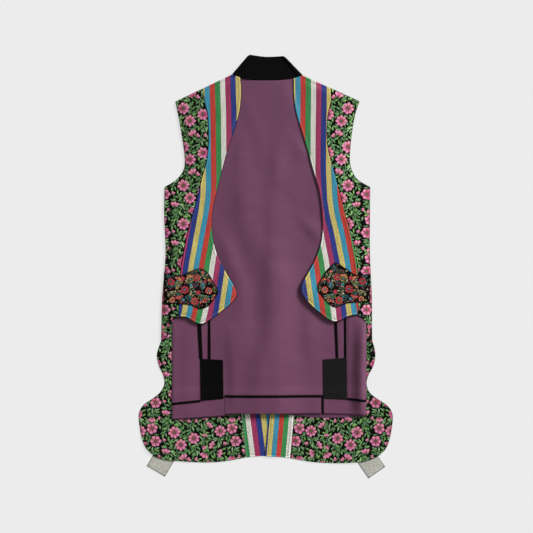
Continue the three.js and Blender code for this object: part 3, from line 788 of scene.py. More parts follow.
def hem_facing(side):
    start = LINING_SIDE[side] + SIGN[side] * 1.5
    end = FACING_END[side]
    drop = FACING_DROP[side]
    low = BAND[side]["bottom"][0 if side == "left" else 1] - drop / 2
    shallow = BAND["middle"]["bottom"][0]
    sag = ((start + end) / 2, (low + shallow - drop / 2) / 2 - drop / 2)
    return outline(
        [(start, low), sag, (end, shallow + 1)],
        [(end, shallow + 1), (end, FACING_TOP)],
        [(end, FACING_TOP), (start, FACING_TOP - 8)],
        [(start, FACING_TOP - 8), (start, low)],
    )


def band(name):
    (a, b), top, foot = BAND[name]["ends"], BAND[name]["top"], BAND[name]["bottom"]
    return polygon([(a, top[0] - GAP), (b, top[1] - GAP), (b, foot[1]), (a, foot[0])])


def polygon(corners):
    return outline(*[[p, q] for p, q in zip(corners, corners[1:] + corners[:1])])


def strip(a, b, wide, narrow):
    """A tape between two points, with its own width at each end."""
    way = Vector((b[0] - a[0], b[1] - a[1])).normalized()
    side = Vector((-way.y, way.x))
    corners = (a, wide / 2), (a, -wide / 2), (b, -narrow / 2), (b, narrow / 2)
    return polygon([(spot[0] + side.x * half, spot[1] + side.y * half) for spot, half in corners])


def tab_outline(centre, size, turn):
    c, s = cos(radians(turn)), sin(radians(turn))
    corners = []
    for a, b in ((-1, -1), (1, -1), (1, 1), (-1, 1)):
        x, y = a * size[0] / 2, b * size[1] / 2
        corners.append((centre[0] + x * c - y * s, centre[1] + x * s + y * c))
    return polygon(corners)


# Shaders.


class Value:
    """A shader socket with arithmetic."""

    def __init__(self, nodes, socket):
        self.nodes = nodes
        self.socket = socket

    def math(self, kind, *others, clamp=False):
        node = self.nodes.tree.nodes.new("ShaderNodeMath")
        node.operation = kind
        node.use_clamp = clamp
        for i, value in enumerate((self, *others)):
            self.nodes.join(value, node.inputs[i])
        return Value(self.nodes, node.outputs[0])

    def __add__(self, other):
        return self.math("ADD", other)

    __radd__ = __add__

    def __sub__(self, other):
        return self.math("SUBTRACT", other)

    def __rsub__(self, other):
        return Value(self.nodes, other).math("SUBTRACT", self)

    def __mul__(self, other):
        return self.math("MULTIPLY", other)

    __rmul__ = __mul__

    def __truediv__(self, other):
        return self.math("DIVIDE", other)

    def below(self, limit, soft):
        """1 below a limit, 0 above it, with a soft step."""
        return ((limit - self) / soft + 0.5).math("MULTIPLY", 1.0, clamp=True)

    def wave(self, turns):
        """A sine from 0 to 1 that repeats so many times per unit."""
        return (self * (turns * 2 * pi)).math("SINE") * 0.5 + 0.5


class Nodes:
    """The shader nodes of one material."""

    def __init__(self, name):
        self.material = bpy.data.materials.new(name)
        self.material.use_nodes = True
        self.tree = self.material.node_tree
        self.shader = self.tree.nodes["Principled BSDF"]

    def join(self, value, socket):
        if isinstance(value, Value):
            value = value.socket
        if isinstance(value, bpy.types.NodeSocket):
            self.tree.links.new(value, socket)
        else:
            socket.default_value = value

    def make(self, kind, settings=None, **sockets):
        node = self.tree.nodes.new(kind)
        for key, value in (settings or {}).items():
            setattr(node, key, value)
        for key, value in sockets.items():
            self.join(value, node.inputs[key.replace("_", " ")])
        return node

    def attribute(self, name, output="Fac"):
        made = self.make("ShaderNodeAttribute", {"attribute_name": name})
        return Value(self, made.outputs[output])

    def place(self):
        """The point on the garment in millimetres, as three values."""
        where = self.make("ShaderNodeTexCoord").outputs["Object"]
        parts = self.make("ShaderNodeSeparateXYZ", Vector=where)
        return [Value(self, parts.outputs[i]) * 1000 for i in range(3)]

    def noise(self, size, detail=2.0, stretch=(1, 1, 1)):
        """Noise from 0 to 1 whose features are about a size in millimetres."""
        where = self.make("ShaderNodeTexCoord").outputs["Object"]
        scaled = self.make("ShaderNodeVectorMath", {"operation": "MULTIPLY"})
        self.join(where, scaled.inputs[0])
        scaled.inputs[1].default_value = [1000 / size / s for s in stretch]
        made = self.make("ShaderNodeTexNoise", Vector=scaled.outputs[0], Scale=1.0, Detail=detail)
        return Value(self, made.outputs["Fac"])

    def mix(self, share, a, b):
        node = self.make("ShaderNodeMix", {"data_type": "RGBA"})
        self.join(share, node.inputs[0])
        for value, socket in ((a, node.inputs[6]), (b, node.inputs[7])):
            self.join((*value, 1.0) if isinstance(value, tuple) else value, socket)
        return node.outputs[2]

    def shade(self, colour, amount):
        """The colour made darker or lighter by a value around 1."""
        node = self.make("ShaderNodeVectorMath", {"operation": "SCALE"})
        self.join(colour, node.inputs[0])
        self.join(amount, node.inputs["Scale"])
        return node.outputs[0]

    def finish(self, colour, rough, height=None, bump=0.3, sheen=0.0, specular=0.25, glow=None):
        self.join(colour, self.shader.inputs["Base Color"])
        self.join(rough, self.shader.inputs["Roughness"])
        self.shader.inputs["Specular IOR Level"].default_value = specular
        self.shader.inputs["Sheen Weight"].default_value = sheen
        self.shader.inputs["Sheen Roughness"].default_value = 0.5
        if glow:
            self.shader.inputs["Emission Color"].default_value = (*glow, 1.0)
            self.shader.inputs["Emission Strength"].default_value = 1.0
        if height is not None:
            node = self.make("ShaderNodeBump", Height=height, Strength=bump, Distance=0.0004)
            self.join(node.outputs[0], self.shader.inputs["Normal"])
        return self.material


def striped_cloth():
    n = Nodes("striped_cloth")
    stripe = n.attribute("stripe")
    ramp = n.make("ShaderNodeValToRGB")
    ramp.color_ramp.interpolation = "CONSTANT"
    stops = ramp.color_ramp.elements
    while len(stops) < len(STRIPES):
        stops.new(0.5)
    for i, name in enumerate(STRIPES):
        stops[i].position = i / len(STRIPES)
        stops[i].color = (*SHADES[name], 1.0)
    n.join((stripe / len(STRIPES)).math("FRACT"), ramp.inputs[0])
    within = stripe.math("FRACT")
    line = (0.5 - (within - 0.5).math("ABSOLUTE")).below(0.05, 0.05)
    x, y, _ = n.place()
    parity = (stripe * 0.5).math("FRACT").below(0.5, 0.01) * 2 - 1
    dots = (x + y * 0.9).wave(1 / 6.3) * (x - y * 0.8).wave(1 / 6.0)
    thread = (x - y * parity).wave(1 / 0.8)
    speck = n.noise(2.1, 1.0)
    slub = n.noise(8, 2.0, (0.6, 5, 1))
    lower = y.below(120, 160)
    strong = 0.35 + lower * 0.65
    grain = (dots - 0.25) * 0.5 + (speck - 0.5) * 1.2
    bright = 0.94 + lower * 0.06 + grain * strong + (slub - 0.5) * 0.6
    edge = n.attribute("edge")
    # Darker within about half a millimetre of the cut edge.
    darker_cut_edge = edge.below(0.5, 0.5) * 0.35
    # Painted highlight: a lighter line along the swell of the turned edge, about 2.6 mm in, stronger lower
    # down.
    rim = (edge - 2.6).math("ABSOLUTE").below(1.3, 0.8) * (0.10 + lower * 0.22)
    # Painted shade: a darker line in the stitch line's groove, about 5.4 mm in.
    stitch_groove_shade = (edge - 5.4).math("ABSOLUTE").below(0.8, 0.6) * (0.10 + lower * 0.30)
    seamed = (0.5 - (within - 0.5).math("ABSOLUTE") - 0.1).math("ABSOLUTE").below(0.05, 0.05) * 0.12
    bright = bright * (1 - line * 0.38) * (1 - darker_cut_edge) * (1 + rim + seamed - stitch_groove_shade)
    rough = 0.45 + speck * 0.25
    height = dots * 0.8 + thread * 0.2 - line * 0.7
    colour = n.shade(ramp.outputs[0], bright)
    return n.finish(colour, rough, height, 0.45, sheen=0.05, specular=0.22)


def flowered_ground():
    n = Nodes("flowered_ground")
    x, y, _ = n.place()
    twill = (x + y).wave(1 / 1.5)
    fleck = n.noise(2.2, 2.0)
    deep = n.mix(n.noise(30), (0.0013, 0.0019, 0.0010), (0.0034, 0.0042, 0.0022))
    green = n.mix(fleck.below(0.36, 0.08) * 0.5, deep, (0.010, 0.034, 0.011))
    return n.finish(n.shade(green, 0.8 + twill * 0.35), 0.68, twill, 0.4, specular=0.04)


def plain(name, ribs, patch, dark, pale, low, more, rough, bump=None, specular=0.25):
    """A cloth or thread of one colour: ribs over slow patches between a dark and a pale one."""
    n = Nodes(name)
    x, y, _ = n.place()
    rib = ribs(x, y)
    colour = n.shade(n.mix(n.noise(patch), dark, pale), low + rib * more)
    return n.finish(colour, rough, rib if bump else None, bump or 0.3, specular=specular)


def tinted(name, threads, size, low, more, rough, bump, specular):
    """Thread in the colours of the figures that it makes."""
    n = Nodes(name)
    x, y, _ = n.place()
    thread = threads(x, y)
    tint = n.attribute("tint", "Color").socket
    colour = n.shade(tint, low + thread * more + n.noise(size, 2.0) * 0.36)
    return n.finish(colour, rough, thread, bump, specular=specular)


def plum_lining():
    n = Nodes("plum_lining")
    x, y, _ = n.place()
    slub = n.noise(1.1, 2.0, (22, 1, 1))
    long_slub = n.noise(2.6, 2.0, (40, 1, 1))
    threads = y.wave(1 / 0.8) * 0.5 + x.wave(1 / 0.7) * 0.5
    base = n.mix(n.noise(80), (0.127, 0.0388, 0.0853), (0.1435, 0.0465, 0.098))
    bright = 0.82 + slub * 0.20 + long_slub * 0.12 + threads * 0.06
    edge = n.attribute("edge")
    # Painted shade: a darker line along a stitch line 3.6 mm in.
    stitch_groove_shade = (edge - 3.6).math("ABSOLUTE").below(0.35, 0.4) * 0.22
    # Painted shade: the lining is darker within about a millimetre of its cut edge.
    bright = bright * (1 - edge.below(0.8, 0.5) * 0.4) * (1 - stitch_groove_shade)
    colour, height = n.shade(base, bright), threads * 0.4 + slub * 0.6
    return n.finish(colour, 0.50 + slub * 0.1, height, 0.25, sheen=0.04, specular=0.35)


def ribbed_panel():
    n = Nodes("ribbed_panel")
    x, y, _ = n.place()
    rib = x.wave(1 / 2.2) * 0.7 + n.noise(6, 2.0, (1, 5, 1)) * 0.5
    right = (x * 0.01 + 0.5).math("MULTIPLY", 1.0, clamp=True)
    base = n.mix(right, (0.0026, 0.0024, 0.0025), (0.0105, 0.0108, 0.0105))
    return n.finish(n.shade(base, 0.6 + rib * 0.65), 0.6, rib, 0.6, specular=0.04)


def collar_cloth():
    n = Nodes("collar_cloth")
    x, y, _ = n.place()
    twill = (x + y * 1.4).wave(1 / 1.2)
    nap = n.noise(2.0, 3.0)
    base = n.mix(nap, (0.0016, 0.0015, 0.0016), (0.0044, 0.0042, 0.0042))
    colour, height = n.shade(base, 0.8 + twill * 0.3), twill * 0.6 + nap * 0.6
    return n.finish(colour, 0.8, height, 0.4, sheen=0.012, specular=0.03)


def felted_tab():
    n = Nodes("felted_tab")
    speck = n.noise(1.6, 3.0)
    patch = n.noise(9, 2.0)
    base = n.mix((speck - 0.5) * 2.2 + 0.5, (0.28, 0.28, 0.245), (0.58, 0.58, 0.52))
    edge = n.attribute("edge")
    binding = edge.below(1.6, 0.7)
    colour = n.shade(base, (0.86 + patch * 0.3) * (1 - binding * 0.62))
    return n.finish(colour, 0.85, speck, 0.6, specular=0.1)


def floor_paper():
    n = Nodes("floor_paper")
    base = n.mix(n.noise(400, 1.0), (0.169, 0.169, 0.169), (0.171, 0.171, 0.171))
    return n.finish(base, 0.95, None, specular=0.0, glow=(0.67, 0.67, 0.67))


def twill(step, lean=1.0):
    """Ribs that run up or, with a lean below 0, down across the cloth."""
    return lambda x, y: (x + y * lean).wave(1 / step)


def weave(x, y):
    """Plain weave: threads over and under each other."""
    return x.wave(1 / 1.1) * y.wave(1 / 1.1)


def slanted(x, y):
    """The lay of embroidery floss."""
    return (x * 0.8 + y * 1.2).wave(1 / 0.75)


TAPE_INKS = (0.0012, 0.0010, 0.0011), (0.0030, 0.0024, 0.0028)
POCKET_INKS = (0.0022, 0.0012, 0.0011), (0.0056, 0.0030, 0.0027)
BLACK_INKS = (0.004, 0.004, 0.006), (0.014, 0.012, 0.016)
PALE_INKS = (0.20, 0.19, 0.17), (0.34, 0.32, 0.28)
LOOK = {
    "stripe": striped_cloth(),
    "ground": flowered_ground(),
    "figures": tinted("woven_figures", twill(0.9, -1.0), 3.5, 0.70, 0.24, 0.55, 0.45, 0.12),
    "lining": plum_lining(),
    "tape": plain("black_tape", twill(1.1, 0.97), 3, *TAPE_INKS, 0.8, 0.4, 0.7, 0.5, 0.03),
    "panel": ribbed_panel(),
    "collar": collar_cloth(),
    "pocket": plain("pocket_ground", weave, 4, *POCKET_INKS, 0.7, 0.5, 0.75, 0.5, 0.05),
    "embroidery": tinted("embroidery", slanted, 2.4, 0.68, 0.34, 0.5, 0.7, 0.2),
    "tab": felted_tab(),
    "black": plain("thread_black", twill(0.7), 3, *BLACK_INKS, 0.7, 0.6, 0.5),
    "pale": plain("thread_pale", twill(0.6, -1.0), 2, *PALE_INKS, 0.7, 0.5, 0.5),
    "floor": floor_paper(),
}


# The cloth pieces, from the surface up.


# Whole repeats of the colours that keep every stripe's number above 0.
WHOLE_REPEATS = 10


def guide(which):
    """The number of a stripe at a point, from its guide line."""
    width = which.get("width", STRIPE_WIDTH)
    first = which["colour"] + WHOLE_REPEATS * len(STRIPES)
    return lambda x, y: (x - at(which["rows"], 1, y)) / width + first


for side in ("left", "right"):
    lap_height = shell_under if side == "left" else lapped_under
    pocket = outline(POCKET[side], [POCKET[side][-1], POCKET_SIDE[side][0]], POCKET_SIDE[side])
    back_rows, front_rows = guide(BACK_GUIDE[side]), guide(FRONT_GUIDE[side])
    # Each piece's name, outline, height, thickness, look, mesh step, turned edge and stripes.
    for part, loop, under, kind, *looks in [
        ("back_floral", back_floral(side), shell_under, "shell", "ground", 8),
        ("back_stripe", back_stripe(side), lap_height, "shell", "stripe", 7, 0.12, back_rows),
        ("hem_facing", hem_facing(side), facing_under, "facing", "lining", 6),
        ("lining_side", lining_strip(side), lining_under, "lining", "lining", 4, 0.1),
        ("vent_panel", polygon(VENT_PANELS[side]), on_lining("panel"), "panel", "panel", 5, 0.12),
        ("front_floral", front_floral(side), front_under, "front", "ground", 5),
        ("front_stripe", front_stripe(side), front_under, "front", "stripe", 4, 0.3, front_rows),
        ("pocket", pocket, on_front, "pocket", "pocket", 4, 0.15),
        ("tab", tab_outline(**TABS[side]), lambda x, y: ROOM["tab"], "tab", "tab", 5),
    ]:
        cloth(f"{part}_{side}", loop, under, THICK[kind], *looks)

cloth("lining_back", lining_panel(), lining_under, THICK["lining"], "lining", 4.2)
for name in BAND:
    cloth(f"hem_band_{name}", band(name), lining_under, THICK["lining"], "lining", 4, 0.1)
TAPES = {
    f"hem_tape_{name}": strip(*zip(sizes["ends"], sizes["y"]), 2 * TAPE_HALF, 2 * TAPE_HALF)
    for name, sizes in HEM_TAPES.items()
}
TAPES["drop_tape_right"] = polygon(DROP_TAPE)
TAPES |= {name: strip(*sizes) for name, *sizes in BARS}
for name, shape in TAPES.items():
    cloth(name, shape, on_lining("tape"), THICK["tape"], "tape", 3)


# The collar: one strip that turns over at its top edge, and the ends that fold over it.


def along(rows, share):
    """The point at a share of the way along a smooth curve through the rows, by its rows."""
    spot = share * (len(rows) - 1)
    i = min(int(spot), len(rows) - 2)
    last = len(rows) - 1
    a, b, c, d = rows[max(i - 1, 0)], rows[i], rows[i + 1], rows[min(i + 2, last)]
    return tuple(catmull(a[n], b[n], c[n], d[n], spot - i) for n in (0, 1))


# The top corners are rounded off over so many of the strip's stations.
COLLAR_CORNER = {"stations": 5, "drop": 5.0}
COLLAR_STATIONS = 60
COLLAR_FOOT = 0.75
# Shares of the way up the strip at which its line has points.
COLLAR_STEPS = (0, 0.02, 0.08, 0.2, 0.4, 0.6, 0.8)


def collar_profile(length):
    """The strip's middle line, as distance from the neck seam and height."""
    low, high = COLLAR_FOOT, COLLAR_FOLD - COLLAR_FOOT
    r = (high - low) / 2
    bend = length - r - 0.3
    turns = [pi * k / 8 for k in range(1, 8)]
    return [
        *[(length * t, low) for t in COLLAR_STEPS],
        (bend, low),
        *[(bend + r * sin(a), low + r - r * cos(a)) for a in turns],
        (bend, high),
        *[(length * t, high) for t in COLLAR_STEPS[::-1]],
    ]


def collar_back():
    verts, faces, edges = [], [], []
    stations = COLLAR_STATIONS
    half = THICK["collar"] / 2
    for k in range(stations + 1):
        base = Vector(along(NECK, k / stations))
        top = Vector(along(COLLAR_TOP, k / stations))
        way = (top - base).normalized()
        corner = max(0.0, 1 - min(k, stations - k) / COLLAR_CORNER["stations"])
        line = collar_profile((top - base).length - COLLAR_CORNER["drop"] * corner**2.4)
        count = len(line)
        for sign in (1, -1):
            for i, (far, z) in enumerate(line):
                before, after = line[max(i - 1, 0)], line[min(i + 1, count - 1)]
                dx, dz = after[0] - before[0], after[1] - before[1]
                size = hypot(dx, dz) or 1
                px, pz = far + sign * half * dz / size, z - sign * half * dx / size
                wave = soft_wave(base.x, far, 2.2, 24, 0.25) if z > 2 else 0
                spot = base + way * max(px, 0.05)
                verts.append(metres(spot.x, spot.y, max(0.1, pz + wave)))
                edges.append(min(k, stations - k) * 2.5)
    ring = 2 * count
    order = list(range(count)) + list(range(2 * count - 1, count - 1, -1))
    for k in range(stations):
        for i in range(ring):
            a, b = order[i], order[(i + 1) % ring]
            faces.append((k * ring + a, k * ring + b, (k + 1) * ring + b, (k + 1) * ring + a))
    for k in (0, stations):
        for i in range(count - 1):
            quad = [k * ring + i, k * ring + i + 1, k * ring + count + i + 1, k * ring + count + i]
            faces.append(tuple(quad if k else quad[::-1]))
    return cloth_object("collar_back", verts, faces, edges, "collar")


collar = collar_back()
COLLAR_END = {"left": (0.0, 0.1), "right": (0.91, 1.0)}
# How far an end reaches past the strip, and how its top corner is rounded, as share of its width, drop.
END_OVER = 0.7
END_CORNER = [(0.0, 4.6), (0.3, 1.0)]


def collar_end(start, end, outer):
    """The outline of a turned end, with its outer top corner rounded."""
    rim, inner = (end, start) if outer else (start, end)
    foot, top = Vector(along(NECK, rim)), Vector(along(COLLAR_TOP, rim))
    way = (top - foot).normalized()
    across = (Vector(along(COLLAR_TOP, rim)) - Vector(along(COLLAR_TOP, inner))).normalized()
    line = [along(NECK, inner), tuple(foot + across * END_OVER)]
    for share, drop in END_CORNER:
        spot = Vector(along(COLLAR_TOP, rim + (inner - rim) * share)) - way * drop
        line.append(tuple(spot + across * END_OVER * (share < 0.05)))
    line.append(along(COLLAR_TOP, inner))
    return polygon(line if outer else line[::-1])


for side, (start, end) in COLLAR_END.items():
    shape = collar_end(start, end, side == "right")
    cloth(f"collar_{side}", shape, lambda x, y: COLLAR_FOLD + ROOM["collar"], THICK["end"], "collar", 4, 0.15)


# Figures woven or sewn on cloth: leaves, petals, stems and knots, as small low shapes.

# Colours at the rim, in between and in the middle.
PINK = [(0.34, 0.034, 0.11), (0.57, 0.145, 0.30), (0.73, 0.33, 0.48)]
SALMON = [(0.35, 0.058, 0.070), (0.58, 0.19, 0.20), (0.71, 0.36, 0.36)]
GREENS = [
    [(0.022, 0.080, 0.024), (0.14, 0.32, 0.125), (0.47, 0.67, 0.38)],
    [(0.014, 0.056, 0.018), (0.090, 0.225, 0.083), (0.30, 0.49, 0.235)],
    [(0.024, 0.092, 0.022), (0.165, 0.38, 0.10), (0.42, 0.70, 0.26)],
]
HEART = [(0.020, 0.040, 0.018), (0.13, 0.19, 0.07)]


def blend(a, b, share):
    return [tuple(m + (n - m) * share for m, n in zip(p, q)) for p, q in zip(a, b)]


# A petal's rim, as share of its length, share of its width, lift and which of its colours.
PETAL = [
    (0.16, 0, 0.24, 0), (0.46, -0.32, 0.22, 0), (0.74, -0.48, 0.20, 1), (0.93, -0.32, 0.18, 1),
    (1.04, 0, 0.18, 1), (0.93, 0.32, 0.18, 1), (0.74, 0.48, 0.20, 1), (0.46, 0.32, 0.22, 0),
]
# Shares of a leaf's length at which it needs room.
LEAF_SPOTS = (0.35, 0.65, 0.95)


class Figures:
    """Small shapes gathered for one piece of cloth, which keep some room between their leaves."""

    def __init__(self, wrap=None, room=1.2):
        self.shapes = []
        self.taken = np.empty((0, 3))
        self.wrap = wrap
        self.room = room

    def clear(self, spots):
        """Whether spots keep clear of all figures so far, also over the edges of a repeat."""
        for x, y in spots:
            dx, dy = self.taken[:, 0] - x, self.taken[:, 1] - y
            if self.wrap:
                wide, high = self.wrap
                dx = (dx + wide / 2) % wide - wide / 2
                dy = (dy + high / 2) % high - high / 2
            if (np.hypot(dx, dy) < self.taken[:, 2] + self.room).any():
                return False
        return True

    def take(self, *rounds):
        """Mark places as taken, each by x, y and radius."""
        self.taken = np.vstack([self.taken, rounds])

    def add(self, rim, centre=None):
        """rim and centre hold x, y, lift and colour."""
        self.shapes.append((rim, centre))

    def petal(self, x, y, angle, length, width, tints, lift=0.42):
        """Pale in the middle, deep at the rim, so that petals part from each other."""
        c, s = cos(angle), sin(angle)

        def spot(far, side, up, tint):
            along, across = far * length, side * width
            return (x + along * c - across * s, y + along * s + across * c, up, tints[tint])

        self.add([spot(*row) for row in PETAL], spot(0.72, 0, lift, 2))

    def flower(self, x, y, r, count, turn=0.0, tints=PINK, second=None, heart=True):
        """An open flower, whose petals shade from one colour to another across it."""
        self.take((x, y, 0.94 * r))
        width = 2 * pi * 0.74 * r / max(count, 5)
        for k in range(count):
            angle = turn + 2 * pi * k / count
            share = 0.25 + 0.25 * cos(angle - 2.4)
            shaded = blend(tints, second or tints, share)
            self.petal(x, y, angle, r * (1 - 0.06 * (k % 2)), width, shaded)
        if heart:
            self.disc(x, y, 0.25 * r, *HEART, 0.45)
            self.disc(x, y, 0.10 * r, tints[0], tints[1], 0.5, 5)

    def bud(self, x, y, r, count, turn, tints, second):
        """A half-open flower: a few petals out of a green cup."""
        self.take((x, y, 0.86 * r))
        base = (x - 0.8 * r * cos(turn), y - 0.8 * r * sin(turn))
        for k in range(count):
            angle = turn + 0.62 * (k - (count - 1) / 2)
            share = k / max(1, count - 1)
            shaded = blend(tints, second, 0.5 * share)
            self.petal(*base, angle, 1.65 * r, 0.9 * r, shaded, 0.42 + 0.05 * k)
        for side in (1, -1):
            self.leaf(*base, turn + 1.0 * side, 0.9 * r, 0.34 * r, GREENS[1], 0.1 * side, 0.2)

    def disc(self, x, y, r, outer, inner, lift=0.25, sides=8):
        turns = [2 * pi * k / sides for k in range(sides)]
        rim = [(x + r * cos(a), y + r * sin(a), 0.1, outer) for a in turns]
        self.add(rim, (x, y, lift, inner))

    def leaf(self, x, y, angle, length, width, tints, curl=0.12, up=0.0):
        """Two halves on a pale midrib, one darker than the other."""
        c, s = cos(angle), sin(angle)

        def spot(far, side, lift, tint):
            along, across = far * length, side * width + curl * length * sin(pi * far)
            return (x + along * c - across * s, y + along * s + across * c, lift + up, tint)

        self.take(*[(*spot(far, 0, 0, None)[:2], self.room) for far in LEAF_SPOTS])
        dark, mid, pale = tints
        ends = spot(0, 0, 0.06, dark), spot(1, 0, 0.04, mid)
        ribs = spot(0.66, 0, 0.20, pale), spot(0.33, 0, 0.20, pale)
        upper = spot(0.3, 0.42, 0.04, mid), spot(0.68, 0.36, 0.04, pale)
        lower = spot(0.3, -0.42, 0.04, dark), spot(0.68, -0.36, 0.04, mid)
        self.add([ends[0], ribs[1], ribs[0], ends[1], upper[1], upper[0]])
        self.add([ends[0], lower[0], lower[1], ends[1], ribs[0], ribs[1]])

    def leaf_in_room(self, x, y, turn, size, width, tints, curl, up=0.0):
        """A leaf, where there is room for it."""
        spots = [(x + far * size * cos(turn), y + far * size * sin(turn)) for far in LEAF_SPOTS]
        if self.clear(spots):
            self.leaf(x, y, turn, size, width, tints, curl, up)

    def stem(self, spots, width, tint, lift=0.1):
        for (ax, ay), (bx, by) in zip(spots, spots[1:]):
            way = Vector((bx - ax, by - ay)).normalized() * (width / 2)
            corners = (ax, ay, 1), (ax, ay, -1), (bx, by, -1), (bx, by, 1)
            rim = [(x - side * way.y, y + side * way.x, 0.03, tint) for x, y, side in corners]
            self.add(rim, ((ax + bx) / 2, (ay + by) / 2, lift, tint))

    def spray(self, x, y, angle, bend, length, pairs, leaf, tints, second=None):
        """A bent stem with pairs of leaves and one at its tip, in one or two colours by turns."""
        steps = 2 * pairs + 1
        spots, way = [(x, y)], angle
        for k in range(steps):
            way = angle + bend * (k + 1) / steps
            x, y = x + cos(way) * length / steps, y + sin(way) * length / steps
            spots.append((x, y))
        self.stem(spots, 0.9, tints[1])
        for k in range(pairs):
            here = angle + bend * (2 * k + 1) / steps
            size = leaf * (1 - 0.25 * k / max(1, pairs))
            for side in (1, -1):
                colour = second if second and (k + (side > 0)) % 2 else tints
                turn = here + 0.85 * side
                self.leaf(*spots[2 * k + 1], turn, size, size * 0.46, colour, 0.1 * side)
        self.leaf(*spots[-1], way, leaf * 0.9, leaf * 0.4, second or tints, 0.05)

    def fit(self, loop, by=0.8):
        """Keep what lies inside an outline, and cut what crosses it."""
        small = inset(loop, by)
        every = [(p[0], p[1]) for rim, _ in self.shapes for p in rim]
        inside = inside_loop(every, small)
        a, b = segments(small)
        kept, start = [], 0
        for rim, centre in self.shapes:
            mask = inside[start : start + len(rim)]
            start += len(rim)
            if mask.all():
                kept.append((rim, centre))
                continue
            if not mask.any():
                continue
            xs, ys = [p[0] for p in rim], [p[1] for p in rim]
            middle = np.array([sum(xs) / len(xs), sum(ys) / len(ys)])
            reach = max(dist((p[0], p[1]), middle) for p in rim)
            d = b - a
            t = np.clip(((middle - a) * d).sum(1) / (d * d).sum(1), 0, 1)
            gap = np.sqrt(((a + t[:, None] * d - middle) ** 2).sum(1))
            cut = rim
            for i in np.nonzero(gap < reach)[0]:
                normal = (-d[i][1], d[i][0])
                cut = half_of(cut, a[i], normal)
                if len(cut) < 3:
                    break
            if len(cut) > 2 and abs(area_of([(p[0], p[1]) for p in cut])) > 0.2:
                kept.append((cut, None if centre is None else middle_of(cut)))
        self.shapes = kept
        return self

    def build(self, name, host, look, above=0.0, under=None):
        """One mesh that lies on a cloth, or below one when under gives its height."""
        verts, faces, tints = [], [], []
        for rim, centre in self.shapes:
            start = len(verts)
            every = [*rim, centre] if centre else rim
            for x, y, lift, tint in every:
                if under is None:
                    verts.append(lay(host, x, y, lift + above))
                else:
                    verts.append(metres(x, y, under(x, y) - lift * 0.8 - above))
                tints.append((*tint, 1.0))
            count = len(rim)
            if centre:
                fan = [(start + count, start + i, start + (i + 1) % count) for i in range(count)]
            else:
                fan = [(start, start + i, start + i + 1) for i in range(1, count - 1)]
            if area_of([(p[0], p[1]) for p in rim]) < 0:
                fan = [f[::-1] for f in fan]
            faces += fan if under is None else [f[::-1] for f in fan]
        piece = trim(name, host, verts, faces, look)
        add_attribute(piece, "tint", tints, "FLOAT_COLOR")


def half_of(rim, point, normal):
    """The part of a shape on the inner side of a line, with lifts and colours carried along."""
    out = []
    for p, q in zip(rim, rim[1:] + rim[:1]):
        a = (p[0] - point[0]) * normal[0] + (p[1] - point[1]) * normal[1]
        b = (q[0] - point[0]) * normal[0] + (q[1] - point[1]) * normal[1]
        if a >= 0:
            out.append(p)
        if (a >= 0) != (b >= 0):
            t = a / (a - b)
            tint = tuple(m + (n - m) * t for m, n in zip(p[3], q[3]))
            out.append((p[0] + (q[0] - p[0]) * t, p[1] + (q[1] - p[1]) * t, 0.03, tint))
    return out


def middle_of(rim):
    count = len(rim)
    tint = tuple(sum(p[3][n] for p in rim) / count for n in range(3))
    return (sum(p[0] for p in rim) / count, sum(p[1] for p in rim) / count, 0.15, tint)


# The flowered cloth's repeat, charted in millimetres.
REPEAT = (176.0, 84.7)
# Flowers and buds, as x, y, radius, petals, turn.
BLOOMS = [
    (27, 73.2, 13.0, 8, 0.2),
    (41.4, 45.7, 12.5, 8, 0.0),
    (70, 60, 12.5, 8, 0.35),
    (128, 76, 12.5, 8, 0.1),
    (154, 82, 12.0, 6, 0.3),
    (162, 54, 12.0, 6, 0.0),
    (47, 18, 8.5, 5, 0.6),
    (58, 13, 6.0, 4, 0.2),
    (74, 14, 5.5, 4, 0.9),
    (8, 31, 8.0, 5, 0.1),
    (104, 4, 7.5, 5, 0.5),
    (94, 66, 5.2, 5, 0.8),
    (93, 23.6, 8.5, 5, 0.2),
    (92, 41, 6.5, 4, 0.4),
    (110.4, 45, 8.0, 5, 0.7),
    (126, 27.4, 8.0, 5, 1.0),
    (138, 48, 5.5, 4, 0.0),
    (154, 17, 7.5, 5, 0.3),
    (171, 20, 5.0, 4, 0.8),
    (4, 56, 5.0, 4, 0.1),
]
# Stems that wind up the cloth, with leaves at both sides.
STEM = {"count": 6, "first": 9.0, "sway": 6.0, "leaves": 11, "leaf": 14.0, "width": 4.8}
STEM_LEAN = 0.55
# Fans of narrow leaves that fill the ground between them.
FANS = {"across": 34, "up": 17, "blades": 3, "leaf": 13.0, "width": 4.6, "spread": 0.5}


# Where a corner of the repeat lies on the left pieces. The right ones mirror it.
REPEAT_START = {"back": (-228, -439.2), "front": (-207.8, 273.5), "under": (-190, -410)}
# Painted light: the right front's figures are drawn this much brighter than the rest.
RIGHT_FRONT_PAINTED_LIGHT = 1.27


def stem_at(k, y):
    """Where a winding stem is at a height, and which way it runs."""
    turns = 2 * pi / REPEAT[1]
    start = 1.9 * k + 0.6 * (k % 3)
    x = STEM["first"] + k * REPEAT[0] / STEM["count"] + STEM["sway"] * sin(turns * y + start)
    slope = STEM["sway"] * turns * cos(turns * y + start)
    return x, atan2(1, slope)


def near_bloom(x, y, share):
    """Whether a flower of the repeat covers a spot."""
    wide, high = REPEAT
    for bx, by, r, _, _ in BLOOMS:
        dx = (x - bx + wide / 2) % wide - wide / 2
        dy = (y - by + high / 2) % high - high / 2
        if hypot(dx, dy) < share * r:
            return True
    return False


